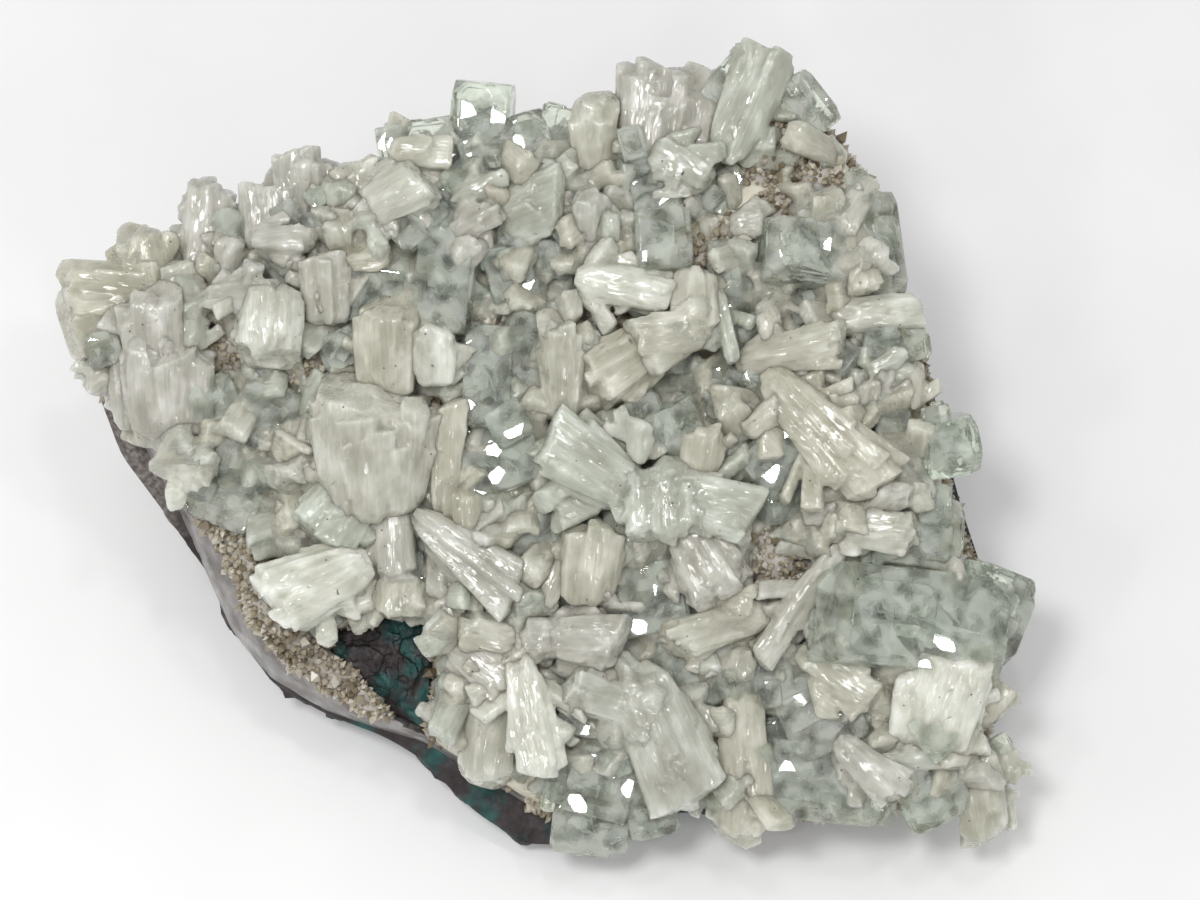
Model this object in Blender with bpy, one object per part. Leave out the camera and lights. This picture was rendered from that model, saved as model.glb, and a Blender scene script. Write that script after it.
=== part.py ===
"""Apophyllite cluster: apophyllite and stilbite crystals on a quartz crust over basalt.

The tables hold millimetres on the crystal face: u runs to the right, v up the slope and w
straight out of the face. MM turns them into the metres that Blender works in. An empty carries
the slope of the face, and every piece is parented to it.
"""
import math
from collections import namedtuple

import bmesh
import bpy
from mathutils import Matrix, Vector, geometry, noise

MM = 0.001
FACE_SLOPE = math.radians(25.0)
FACE_CENTRE = Vector((-0.5, 0.6, 42.0))
GAP = 0.3
MERGE = 0.00002
COPLANAR = math.radians(1.0)

# The rock: its rings, the thickness of the quartz crust and the depth of each edge.
ANGLES = 40
TOP_RINGS = (0.84, 0.62, 0.36)
UNDER_RINGS = (0.9, 0.5)
CRUST_THICKNESS = 5.0
RELIEF_HEIGHT = 1.6
RELIEF_SCALE = 15.0
CRUST_EDGE_DEPTH = 8.5
FLANK_DEPTH = 14.5
FLANK_START = math.radians(188.0)
FLANK_END = math.radians(242.0)
ROCK_EDGE_DEPTH = 12.5
WALL_STEPS = (0.25, 0.5, 0.75)
WALL_LUMP = 2.4
WALL_LUMP_SCALE = 17.0
BASE_SHRINK = 0.93
TUCK_START = 14.0
TUCK_RANGE = 40.0
PATCH_LIFT = 0.8
PATCH_DEPTH = 11.0

# Where the face rounds over to the flanks, anticlockwise from the right.
RIM = [
    (65, 0), (63, 11), (58, 24), (55, 40), (48, 50), (41, 58), (28, 58), (15, 56), (4, 51), (-14, 51),
    (-24, 44), (-35, 42), (-49, 36), (-61, 29), (-74, 25), (-73, 14), (-67, 4), (-60, -4), (-50, -14),
    (-45, -27), (-39, -33), (-28, -41), (-16, -48), (-4, -56), (12, -60), (24, -56), (34, -60),
    (58, -58), (72, -59), (73, -46), (74, -30), (68, -12),
]
# The outer edge of the quartz crust.
CRUST_EDGE = [
    (67, 0), (65, 12), (60, 25), (57, 41), (50, 52), (42, 60), (28, 60), (15, 59), (4, 53), (-14, 54),
    (-25, 46), (-35, 45), (-50, 38), (-63, 31), (-77, 26), (-75, 14), (-68, 2), (-61.5, -11),
    (-57.3, -21), (-53, -31), (-46.5, -39), (-37, -44.5), (-28, -47.5), (-20, -49.5), (-9, -56),
    (1, -62), (12, -63), (24, -58), (35, -62), (58, -60), (74, -61), (76, -46), (77, -30), (70, -12),
]
# The widest outline of the basalt under it.
ROCK_EDGE = [
    (69, 0), (66.5, 12), (60, 25), (56, 40), (49, 51), (41, 59), (28, 59), (15, 57), (4, 52), (-14, 52),
    (-25, 45), (-35, 44), (-50, 37), (-63, 30), (-78, 24), (-76, 12), (-71.5, -1), (-63.5, -12),
    (-57.3, -21), (-53, -31), (-46.5, -39), (-37, -44.8), (-28, -48.8), (-19.4, -53.4), (-10.8, -61.2),
    (-3, -66.5), (8, -66.5), (22, -61), (34, -61), (58, -60), (73, -60), (76, -46), (77, -30), (72, -12),
]
# The window in the crust where the basalt shows.
PATCH = [
    (-36.5, -31), (-35, -34), (-31.5, -36), (-28, -40.5), (-24.5, -45), (-19.5, -47.5), (-18, -42),
    (-18, -35), (-16.8, -32), (-19, -28), (-24, -27), (-30, -29.5),
]

# A sheaf runs from base to tip; root is its width at the base over the width at the tip, crown
# the rounding of its end over its width, and roll turns it about its length in degrees.
Sheaf = namedtuple("Sheaf", "base tip width thick root crown roll", defaults=(0.85, 0.3, 0.0))
# A block is a cube with cut corners; turn is about w, lean about its own u and v, in degrees.
Block = namedtuple("Block", "centre size turn lean facet", defaults=(0.0, (0.0, 0.0), 0.2))
Finish = namedtuple("Finish", "color roughness transmission")

FINISHES = {
    "basalt": Finish((0.055, 0.043, 0.045), 0.85, 0.0),
    "quartz": Finish((0.42, 0.38, 0.33), 0.6, 0.0),
    "stilbite": Finish((0.76, 0.73, 0.65), 0.35, 0.0),
    "apophyllite": Finish((0.62, 0.72, 0.64), 0.08, 0.9),
}

# Crystals that stand in front come first: the later ones end where they meet the earlier ones.
CRYSTALS = [
    ("stilbite_big_block", [Sheaf((-27.5, -11, 3), (-27.2, 10.8, 8), 19.5, 14, 0.85, 0.22)]),
    ("stilbite_pearly_fan", [Sheaf((-28, -18, 5), (-44.5, -25.5, 8), 12.5, 7, 0.7, 0.12)]),
    ("stilbite_white_block", [Sheaf((-43.5, 27, 7), (-43.8, 13.5, 10), 11.5, 8, 0.9, 0.5)]),
    ("stilbite_white_rounded", [Sheaf((-17, 10.5, 7), (-17, 21.5, 9), 7.5, 6, 0.9, 0.5)]),
    ("stilbite_centre_bow", [
        Sheaf((15.5, -7, 8), (0.5, 3, 10), 12, 6, 0.7, 0.25),
        Sheaf((16, -5, 8), (36.8, -11.5, 9), 10, 6, 0.75, 0.35),
        Sheaf((20, -3.5, 8), (20.5, -14.6, 9.5), 13, 5, 0.85, 0.12),
    ]),
    ("stilbite_long_blade", [Sheaf((37, 12.8, 6), (56.2, -7.8, 9), 10, 6, 0.55, 0.3)]),
    ("stilbite_oval", [Sheaf((50, -13, 5), (63, -13.2, 7), 7.6, 6, 0.8, 0.5)]),
    ("stilbite_bow_tie", [
        Sheaf((25.7, 29.5, 5), (25.2, 18.5, 9), 8.8, 6, 0.9, 0.2),
        Sheaf((27.5, 20, 8), (15, 17.5, 10), 7.5, 5, 0.9, 0.3),
    ]),
    ("stilbite_white_saddle", [Sheaf((6, 28.7, 7), (22, 24.3, 8), 7, 5, 0.9, 0.3)]),
    ("stilbite_centre_sheaf", [Sheaf((-20.5, -10.5, 5), (-2.5, -24.5, 8), 11, 7, 0.42, 0.3)]),
    ("stilbite_long_lower", [Sheaf((-3.5, -33, 6), (1.3, -53.8, 9), 7.4, 5, 0.75, 0.1)]),
    ("stilbite_big_lower", [
        Sheaf((15.5, -35.5, 4), (24.8, -58.6, 5), 15, 11, 0.72, 0.12),
        Sheaf((17, -43, 5), (3.8, -38.3, 8), 8, 6, 0.8, 0.4),
    ]),
    ("stilbite_silvery_sheaf", [Sheaf((63.5, -49.3, 5), (67.8, -32.8, 8), 16.5, 7, 0.9, 0.3)]),
    ("stilbite_blue_blade", [Sheaf((49, -47.5, 6), (59.6, -57.6, 7), 6, 4.5, 0.8, 0.3)]),
    ("stilbite_rounded_centre", [Sheaf((20.5, 19, 4), (8, 9.3, 8), 10.5, 8, 0.85, 0.3)]),
    ("stilbite_green_sheaf", [Sheaf((4, 4.5, 5), (4.2, 21.5, 8), 8.6, 7, 0.7, 0.3)]),
    ("apophyllite_big_green", [
        Block((60.5, -28.7, 3), (32, 16.5, 13), -6, (-12, 5), 0.28),
        Block((73.5, -27, 0), (12.5, 15, 11), -22, (0, 18), 0.25),
    ]),
    ("apophyllite_rounded_cube", [Block((67.6, 0.7, 1), (9, 9.4, 10), 12, (8, 10), 0.24)]),
    ("apophyllite_teal_block", [Block((43.3, 32, 3), (14, 10.5, 11), -4, (-14, 8), 0.18)]),
    ("apophyllite_bright", [Block((22.8, 4, 6), (8.4, 8, 8), 24, (10, -8), 0.26)]),
    ("stilbite_pale_block", [Sheaf((-25, 8.5, 4), (-25.3, 24.6, 8), 11.2, 9, 0.92, 0.3)]),
    ("stilbite_pink_column", [Sheaf((-35, 20.5, 4), (-36, 33, 6), 8.5, 7, 0.9, 0.3)]),
    ("stilbite_scalloped", [Sheaf((-29.5, -5, 4), (-37.3, -14.8, 7), 11.5, 7, 0.8, 0.2)]),
    ("stilbite_rounded_low", [Sheaf((7.5, -25.5, 4), (9.5, -10.8, 7), 10.5, 8, 0.85, 0.5)]),
    ("stilbite_right_round", [Sheaf((24.5, -13, 5), (31.5, -24.6, 8), 12, 8, 0.8, 0.4)]),
    ("stilbite_pearly_low", [
        Sheaf((2.5, -31, 5), (14.2, -31, 8), 10.5, 6, 0.7, 0.2),
        Sheaf((5.5, -31, 4), (-3.8, -30.5, 6), 7.5, 6, 0.9, 0.5),
    ]),
    ("stilbite_hanging_column", [Sheaf((33, -38, 4), (34.2, -65.3, 0), 9, 8, 0.68, 0.45)]),
    ("stilbite_diagonal", [Sheaf((50.3, -15.5, 5), (34.7, -34.8, 7), 5.2, 5, 0.9, 0.2)]),
    ("stilbite_striated", [Sheaf((32.5, 14.3, 4), (50.8, 18.6, 8), 7.2, 5, 0.8, 0.3)]),
    ("stilbite_right_white", [Sheaf((47.5, 21.3, 4), (63.6, 23.8, 4), 6.4, 5.5, 0.9, 0.3)]),
    ("stilbite_lilac_plate", [Sheaf((-7, 38, 3), (4.8, 42, 8), 11, 5, 0.9, 0.3)]),
    ("stilbite_jagged_white", [Sheaf((-28, 39.7, 6), (-18.4, 44.8, 9), 9, 5, 0.8, 0.3)]),
    ("stilbite_lilac_left", [
        Sheaf((-60.8, 2, 1), (-61, 18.6, 5), 15, 9, 0.95, 0.15),
        Sheaf((-68.3, 3.5, -1), (-69, 16.5, 2), 6.6, 7, 0.9, 0.3),
        Sheaf((-63.5, 16, 4), (-63.3, 26, 7), 11, 8, 0.95, 0.25),
    ]),
    ("stilbite_left_lobes", [
        Sheaf((-63, 25, 0), (-80.2, 20.5, 1), 13.5, 9, 0.9, 0.3),
        Sheaf((-63, 27, 1), (-79.3, 28.6, 2), 8.6, 8, 0.9, 0.4),
        Sheaf((-64.5, 24, 1), (-66, 36.8, 1), 9, 8, 0.95, 0.45),
    ]),
    ("stilbite_pink_finger", [Sheaf((-56, 28.5, 0), (-53.8, 45, 1), 8.8, 7, 0.95, 0.45)]),
    ("stilbite_left_fingers", [
        Sheaf((-39.5, 35.5, 0), (-40.7, 51, 1), 8.4, 7, 0.95, 0.45),
        Sheaf((-37.5, 37, 0), (-34.8, 48, 0), 6.4, 6, 0.9, 0.4),
        Sheaf((-45.5, 33, 1), (-46.8, 44.8, 1), 8.4, 7, 0.9, 0.45),
    ]),
    ("stilbite_low_roof", [Sheaf((-29.5, 38, 0), (-30.8, 49, 1), 11, 7, 0.95, 0.4)]),
    ("stilbite_top_cream", [Sheaf((8.3, 45.5, 2), (9.8, 59.3, 4), 8.4, 7, 0.85, 0.4)]),
    ("stilbite_top_large", [
        Sheaf((18, 46, 2), (19.5, 63.6, 1), 15, 9, 0.8, 0.1),
        Sheaf((25, 48, 2), (27.5, 63.8, 1), 9, 8, 0.9, 0.2),
    ]),
    ("stilbite_saddle", [Sheaf((30, 47.5, 4), (39, 67, 4), 9.8, 6, 0.75, 0.2)]),
    ("stilbite_cream_lower", [Sheaf((-14, -31, 3), (-3.5, -39.5, 6), 9.6, 7, 0.9, 0.4)]),
    ("stilbite_rounded_lower", [Sheaf((-7.5, -39, 2), (-10, -56.3, 1), 9.4, 8, 0.9, 0.5)]),
    ("stilbite_corner_column", [Sheaf((72.5, -49, 1), (75.2, -65, 0), 8.6, 8, 0.85, 0.1)]),
    ("apophyllite_tabular", [Block((40, -2.5, 3), (10.5, 12, 7), 40, (8, 0), 0.15)]),
    ("apophyllite_green_column", [Block((20, 35.3, 2), (9.2, 13, 11), 3, (-10, 6), 0.2)]),
    ("apophyllite_pale_column", [
        Block((-15.5, 27.5, 4), (9, 17.5, 9), -4, (-8, -6), 0.22),
        Block((-16.4, 38, 3), (5.5, 6, 6), 45, (0, 0), 0.25),
    ]),
    ("apophyllite_clear_left", [Block((-27, 26.5, 2), (13, 8.5, 8), -8, (10, 0), 0.22)]),
    ("apophyllite_grey_left", [Block((-51, -6.2, -1), (13.5, 12, 10), -20, (12, -14), 0.2)]),
    ("apophyllite_centre_green", [Block((-8.8, 12, 3), (8, 16.5, 9), -3, (-6, 4), 0.24)]),
    ("apophyllite_centre_slab", [Block((-7, -1.5, 2), (13.5, 11.5, 9), 18, (-8, 6), 0.2)]),
    ("apophyllite_grey_right", [Block((62, -13.8, 0), (14.5, 12, 10), -8, (-8, 10), 0.24)]),
    ("apophyllite_right_edge", [Block((56, 34, 0), (6.6, 17, 9), 8, (0, 12), 0.24)]),
    ("apophyllite_top_blocks", [
        Block((-20.3, 50.3, 0), (13, 9, 9), 10, (6, 0), 0.22),
        Block((-9.6, 55.3, 0), (9.6, 12, 9), -6, (8, -6), 0.22),
        Block((-2.2, 51.5, 1), (8, 8.5, 8), 20, (0, 0), 0.28),
    ]),
    ("apophyllite_green_oval", [Block((32.2, 60.3, 1), (9, 8, 8), 50, (0, 10), 0.28)]),
    ("apophyllite_top_right", [Block((44, 57, 0), (7, 10.5, 8), 38, (0, 10), 0.24)]),
    ("apophyllite_bottom_group", [
        Block((10, -55.5, 1), (11, 11.5, 9), -14, (-8, 0), 0.2),
        Block((17.8, -58.7, 0), (8.5, 10.5, 9), 12, (6, 8), 0.2),
        Block((8.5, -62, -2), (13, 8.5, 9), -6, (10, 0), 0.22),
    ]),
    ("apophyllite_corner_mass", [
        Block((47.5, -55, 0), (20, 13, 10), -6, (0, 0), 0.22),
        Block((46.5, -44, 1), (13, 13, 9), 24, (-8, 0), 0.24),
        Block((41.5, -52, 0), (9, 14, 9), 8, (0, -8), 0.22),
    ]),
    ("apophyllite_round", [Block((64.8, -56.5, 1), (11, 11, 9), 30, (0, 0), 0.3)]),
]


def clear_scene():
    """Remove whatever the startup file holds."""
    for old in list(bpy.data.objects):
        bpy.data.objects.remove(old, do_unlink=True)


def make_material(name):
    """A Principled material with a finish from the table."""
    finish = FINISHES[name]
    material = bpy.data.materials.new(name)
    material.use_nodes = True
    shader = material.node_tree.nodes["Principled BSDF"]
    shader.inputs["Base Color"].default_value = (*finish.color, 1.0)
    shader.inputs["Roughness"].default_value = finish.roughness
    shader.inputs["Metallic"].default_value = 0.0
    shader.inputs["Transmission Weight"].default_value = finish.transmission
    return material


def ray_radius(outline, angle):
    """How far the outline lies from the face centre in one direction."""
    far_point = Vector((math.cos(angle), math.sin(angle))) * 200.0
    for start, end in zip(outline, outline[1:] + outline[:1]):
        hit = geometry.intersect_line_line_2d((0.0, 0.0), far_point, start, end)
        if hit:
            return hit.length
    raise ValueError("the outline doesn't go round the face centre")


def relief(u, v):
    """Height of the crust's surface on the face."""
    return RELIEF_HEIGHT * noise.noise(Vector((u, v, 0.0)) / RELIEF_SCALE)


def lumps(u, v, w, scale=WALL_LUMP_SCALE):
    """Uneven rock, as a number between about -1 and 1."""
    return noise.noise(Vector((u, v, w)) / scale + Vector((7.0, 3.0, 5.0)))


def crust_edge_depth(angle):
    """The crust hangs deeper over the flank at the lower left."""
    middle = (FLANK_START + FLANK_END) / 2
    half = (FLANK_END - FLANK_START) / 2
    closeness = max(0.0, 1.0 - ((angle - middle) / (half * 1.5)) ** 2)
    return CRUST_EDGE_DEPTH + (FLANK_DEPTH - CRUST_EDGE_DEPTH) * closeness


def spoke(angle, radius, w):
    """A point at one radius and height over the face, in millimetres."""
    return Vector((radius * math.cos(angle), radius * math.sin(angle), w))


def ring(make_point):
    """One point for each angle round the face centre."""
    return [make_point(2 * math.pi * index / ANGLES) for index in range(ANGLES)]


def cap_ring(share, drop):
    """A ring on the face at a share of the rim's radius, dropped below the crust's surface."""
    def point(angle):
        radius = ray_radius(RIM, angle) * share
        flat = spoke(angle, radius, 0.0)
        rounding = 1.5 * share ** 4
        return Vector((flat.x, flat.y, relief(flat.x, flat.y) - rounding - drop))
    return ring(point)


def edge_ring(outline, margin, depth_of, lump=0.0):
    """A ring on a flank, a margin outside an outline and at a depth below the face."""
    def point(angle):
        radius = ray_radius(outline, angle) + margin
        w = -depth_of(angle)
        flat = spoke(angle, radius, w)
        return spoke(angle, radius + lump * lumps(*flat), w)
    return ring(point)


def flank_ring(grow):
    """The swelling middle of the crust's flank, between the rim and the crust's edge."""
    def point(angle):
        inner = ray_radius(RIM, angle)
        outer = ray_radius(CRUST_EDGE, angle)
        depth = 1.5 + (crust_edge_depth(angle) - 1.5) * 0.45
        flat = spoke(angle, inner * 0.4 + outer * 0.6, -depth)
        return spoke(angle, flat.xy.length + 0.6 * lumps(*flat, 6.0) + grow, -depth + grow)
    return ring(point)


def loft(name, rings, pole_start, pole_end, collection):
    """A closed solid from a pole through rings to the other pole, in millimetres on the face."""
    shape = bmesh.new()
    verts = [[shape.verts.new(point * MM) for point in points] for points in rings]
    first = shape.verts.new(pole_start * MM)
    last = shape.verts.new(pole_end * MM)
    for index in range(ANGLES):
        following = (index + 1) % ANGLES
        shape.faces.new((first, verts[0][following], verts[0][index]))
        shape.faces.new((last, verts[-1][index], verts[-1][following]))
        for low, high in zip(verts, verts[1:]):
            shape.faces.new((low[index], low[following], high[following], high[index]))
    bmesh.ops.recalc_face_normals(shape, faces=shape.faces)
    bmesh.ops.triangulate(shape, faces=shape.faces)
    return new_object(name, shape, collection)


def new_object(name, shape, collection):
    """Turn a bmesh into an object on the sloping face."""
    mesh = bpy.data.meshes.new(name)
    shape.to_mesh(mesh)
    shape.free()
    piece = bpy.data.objects.new(name, mesh)
    collection.objects.link(piece)
    piece.parent = bpy.data.objects["crystal_face"]
    return piece


def crust_rings(grow=0.0):
    """The crust's outside, from its outer edge over the rim to the middle of the face."""
    rings = [edge_ring(CRUST_EDGE, grow, lambda angle: crust_edge_depth(angle) - grow)]
    rings.append(flank_ring(grow))
    rings.append(cap_ring(1.0, -grow))
    rings += [cap_ring(share, -grow) for share in TOP_RINGS]
    return rings


def under_rings(drop):
    """The surface where the crust sits on the basalt, from the middle out to its edge."""
    rings = [cap_ring(share, CRUST_THICKNESS + drop) for share in reversed(UNDER_RINGS)]
    rings.append(edge_ring(CRUST_EDGE, -0.6, lambda angle: crust_edge_depth(angle) + 0.9 + drop))
    return rings


def wall_rings(grow=0.0):
    """The basalt's outside, from the crust down to the flat base."""
    top = edge_ring(ROCK_EDGE, grow, lambda angle: crust_edge_depth(angle) + ROCK_EDGE_DEPTH - 8.5, 0.8)
    base = [base_point(point) for point in top]
    rings = [top]
    for step in WALL_STEPS:
        bulge = math.sin(math.pi * step)
        level = []
        for start, end in zip(top, base):
            point = start.lerp(end, step)
            level.append(point * (1.0 + bulge * WALL_LUMP * lumps(*point) / point.length))
        rings.append(level)
    rings.append(base)
    return rings


def to_bench(point):
    """From the face, in millimetres, to the bench that the specimen rests on."""
    return Matrix.Rotation(FACE_SLOPE, 3, "X") @ point + FACE_CENTRE


def to_face(point):
    """From the bench back to the face."""
    return Matrix.Rotation(-FACE_SLOPE, 3, "X") @ (point - FACE_CENTRE)


def base_point(edge_point):
    """Where the wall below an edge point meets the bench, tucked in under the front."""
    edge = to_bench(edge_point)
    share = min(1.0, max(0.0, (TUCK_START - edge_point.y) / TUCK_RANGE))
    tuck = edge.z * math.tan(FACE_SLOPE) * 1.1 * share
    foot = FACE_CENTRE.xy + (edge.xy - FACE_CENTRE.xy) * BASE_SHRINK
    return to_face(Vector((foot.x, foot.y + tuck, 0.0)))


def patch_prism(name, margin, top_lift, collection):
    """A prism over the bare basalt, its outline moved out by a margin."""
    middle = sum((Vector(point) for point in PATCH), Vector((0.0, 0.0))) / len(PATCH)
    shape = bmesh.new()
    floor = []
    roof = []
    for point in PATCH:
        arm = Vector(point) - middle
        outer = middle + arm * (1.0 + margin / arm.length)
        top = relief(*outer) - flank_drop(*outer) + top_lift
        floor.append(shape.verts.new(Vector((outer.x, outer.y, -PATCH_DEPTH)) * MM))
        roof.append(shape.verts.new(Vector((outer.x, outer.y, top)) * MM))
    shape.faces.new(floor)
    for index in range(len(PATCH)):
        following = (index + 1) % len(PATCH)
        shape.faces.new((floor[index], floor[following], roof[following], roof[index]))
    crown = []
    for point in PATCH:
        inner = middle.lerp(Vector(point), 0.6)
        height = relief(*inner) - flank_drop(*inner) + top_lift + 1.4 + 1.2 * lumps(*inner, 0.0, 4.0)
        crown.append(shape.verts.new(Vector((inner.x, inner.y, height)) * MM))
    for index in range(len(PATCH)):
        following = (index + 1) % len(PATCH)
        shape.faces.new((roof[index], roof[following], crown[following], crown[index]))
    shape.faces.new(crown)
    bmesh.ops.recalc_face_normals(shape, faces=shape.faces)
    bmesh.ops.triangulate(shape, faces=shape.faces)
    return new_object(name, shape, collection)


def flank_drop(u, v):
    """How far the surface has fallen below the face where it rounds over to the flank."""
    angle = math.atan2(v, u) % (2 * math.pi)
    radius = math.hypot(u, v)
    inner = ray_radius(RIM, angle) * 0.95
    outer = ray_radius(CRUST_EDGE, angle)
    share = min(1.0, max(0.0, (radius - inner) / (outer - inner)))
    return 1.5 + (crust_edge_depth(angle) - 1.5) * share ** 1.3


def make_sheaf(name, sheaf, grow, collection):
    """An eight-sided sheaf that flares from its root and closes in a rounded crown."""
    base = Vector(sheaf.base)
    tip = Vector(sheaf.tip)
    axis = (tip - base).normalized()
    out = Vector((0.0, 0.0, 1.0))
    out = (out - axis * out.dot(axis)).normalized()
    across = axis.cross(out)
    frame = Matrix((across, axis, out)).transposed() @ Matrix.Rotation(math.radians(sheaf.roll), 3, "Y")
    length = (tip - base).length
    half_width = sheaf.width / 2
    half_thick = sheaf.thick / 2
    crown = sheaf.crown * sheaf.width
    # Each level: how far along, then its width and thickness as shares of the largest.
    levels = (
        (-grow, sheaf.root * 0.9, 0.75),
        (length * 0.45, (1 + sheaf.root) / 2, 0.95),
        (length - crown, 1.0, 1.0),
        (length - crown * 0.25, 0.82, 0.8),
        (length + grow, 0.48, 0.5),
    )
    corners = ((1, 0.4), (0.66, 1), (-0.66, 1), (-1, 0.4), (-1, -0.4), (-0.66, -1), (0.66, -1), (1, -0.4))
    shape = bmesh.new()
    rings = []
    for along, wide, deep in levels:
        wide = wide * half_width + grow
        deep = deep * half_thick + grow
        rings.append([shape.verts.new(Vector((x * wide, along, z * deep)) * MM) for x, z in corners])
    for low, high in zip(rings, rings[1:]):
        for index in range(len(corners)):
            following = (index + 1) % len(corners)
            shape.faces.new((low[index], low[following], high[following], high[index]))
    shape.faces.new(rings[0])
    shape.faces.new(rings[-1])
    bmesh.ops.recalc_face_normals(shape, faces=shape.faces)
    piece = new_object(name, shape, collection)
    piece.location = base * MM
    piece.rotation_mode = "QUATERNION"
    piece.rotation_quaternion = frame.to_quaternion()
    return piece


def make_block(name, block, grow, collection):
    """A glassy block: a cube scaled to size, its corners cut to facets."""
    shape = bmesh.new()
    bmesh.ops.create_cube(shape, size=1.0)
    size = [(side + 2 * grow) * MM for side in block.size]
    bmesh.ops.scale(shape, vec=size, verts=shape.verts)
    offset = min(size) * block.facet * 1.6
    bmesh.ops.bevel(shape, geom=shape.verts[:], offset=offset, segments=1, affect="VERTICES")
    bmesh.ops.triangulate(shape, faces=shape.faces)
    piece = new_object(name, shape, collection)
    piece.location = Vector(block.centre) * MM
    lean_u, lean_v = block.lean
    piece.rotation_euler = (math.radians(lean_u), math.radians(lean_v), math.radians(block.turn))
    return piece


def make_shape(name, item, grow, collection):
    """One crystal of either kind."""
    maker = make_sheaf if isinstance(item, Sheaf) else make_block
    return maker(name, item, grow, collection)


def world_box(piece):
    """The lowest and highest corner of an object in the world."""
    corners = [piece.matrix_world @ Vector(corner) for corner in piece.bound_box]
    low = Vector([min(corner[axis] for corner in corners) for axis in range(3)])
    high = Vector([max(corner[axis] for corner in corners) for axis in range(3)])
    return low, high


def touch(box, other):
    """True where two boxes overlap."""
    return all(box[0][axis] < other[1][axis] and other[0][axis] < box[1][axis] for axis in range(3))


def combine(target, helpers, operation):
    """Apply one Boolean operation with each helper in turn."""
    for helper in helpers:
        modifier = target.modifiers.new(operation.lower(), "BOOLEAN")
        modifier.operation = operation
        modifier.solver = "EXACT"
        modifier.object = helper
    bpy.context.view_layer.update()
    finished = target.evaluated_get(bpy.context.evaluated_depsgraph_get())
    mesh = bpy.data.meshes.new_from_object(finished)
    target.modifiers.clear()
    target.data = mesh


def keep_largest(piece):
    """Drop the crumbs that a cut leaves, merge flat neighbours and triangulate."""
    shape = bmesh.new()
    shape.from_mesh(piece.data)
    bmesh.ops.remove_doubles(shape, verts=shape.verts, dist=MERGE)
    unseen = set(shape.verts)
    islands = []
    while unseen:
        island = set()
        edge_of_search = [unseen.pop()]
        while edge_of_search:
            vert = edge_of_search.pop()
            island.add(vert)
            for edge in vert.link_edges:
                other = edge.other_vert(vert)
                if other in unseen:
                    unseen.remove(other)
                    edge_of_search.append(other)
        islands.append(island)
    islands.sort(key=lambda island: sum(face.calc_area() for vert in island for face in vert.link_faces))
    for island in islands[:-1]:
        bmesh.ops.delete(shape, geom=list(island), context="VERTS")
    bmesh.ops.dissolve_degenerate(shape, dist=MERGE, edges=shape.edges)
    bmesh.ops.dissolve_limit(shape, angle_limit=COPLANAR, verts=shape.verts, edges=shape.edges)
    bmesh.ops.triangulate(shape, faces=shape.faces)
    shape.to_mesh(piece.data)
    shape.free()


def finish(piece, material):
    """Give a finished piece its material and nothing else."""
    piece.data.materials.clear()
    piece.data.materials.append(material)
    for polygon in piece.data.polygons:
        polygon.use_smooth = False


def remove_pieces(pieces):
    """Remove helper objects once they have done their work."""
    for piece in pieces:
        bpy.data.objects.remove(piece, do_unlink=True)


def build_rock(cluster, helpers, materials):
    """The basalt with its bare patch, and the quartz crust with a window over that patch."""
    under_pole = Vector((0.0, 0.0, relief(0.0, 0.0) - CRUST_THICKNESS))
    gap_drop = Vector((0.0, 0.0, GAP))
    base_pole = to_face(Vector((*FACE_CENTRE.xy, 0.0)))
    basalt_rings = list(reversed(wall_rings())) + list(reversed(under_rings(GAP)))
    basalt = loft("basalt_matrix", basalt_rings, base_pole, under_pole - gap_drop, cluster)
    top_pole = Vector((0.0, 0.0, relief(0.0, 0.0)))
    crust = loft("quartz_crust", under_rings(0.0) + crust_rings(), under_pole, top_pole, cluster)
    window = patch_prism("patch_window", GAP, 3.0, helpers)
    lump = patch_prism("patch_lump", 0.0, PATCH_LIFT, helpers)
    combine(crust, [window], "DIFFERENCE")
    combine(basalt, [lump], "UNION")
    remove_pieces([window, lump])
    for piece, slot in ((basalt, "basalt"), (crust, "quartz")):
        keep_largest(piece)
        finish(piece, materials[slot])


def rock_keepouts(helpers):
    """What the crystals may not reach into: the whole rock and the bare patch, grown by the gap."""
    base_pole = to_face(Vector((*FACE_CENTRE.xy, 0.0)))
    top_pole = Vector((0.0, 0.0, relief(0.0, 0.0) + GAP))
    rings = list(reversed(wall_rings(GAP))) + crust_rings(GAP)
    rock = loft("rock_keepout", rings, base_pole, top_pole, helpers)
    lump = patch_prism("lump_keepout", GAP, PATCH_LIFT + GAP, helpers)
    return [rock, lump]


def build_crystals(cluster, helpers, materials):
    """Every crystal node, cut where it meets the rock and the crystals in front of it."""
    keepouts = rock_keepouts(helpers)
    for name, items in CRYSTALS:
        shapes = [make_shape(name, items[0], 0.0, cluster)]
        shapes += [make_shape(name + "_part", item, 0.0, helpers) for item in items[1:]]
        bpy.context.view_layer.update()
        target = shapes[0]
        if len(shapes) > 1:
            combine(target, shapes[1:], "UNION")
            remove_pieces(shapes[1:])
        box = world_box(target)
        combine(target, [piece for piece in keepouts if touch(box, world_box(piece))], "DIFFERENCE")
        keep_largest(target)
        finish(target, materials[name.split("_")[0]])
        keepouts += [make_shape(name + "_keepout", item, GAP, helpers) for item in items]
        bpy.context.view_layer.update()
    remove_pieces(keepouts)


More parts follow.
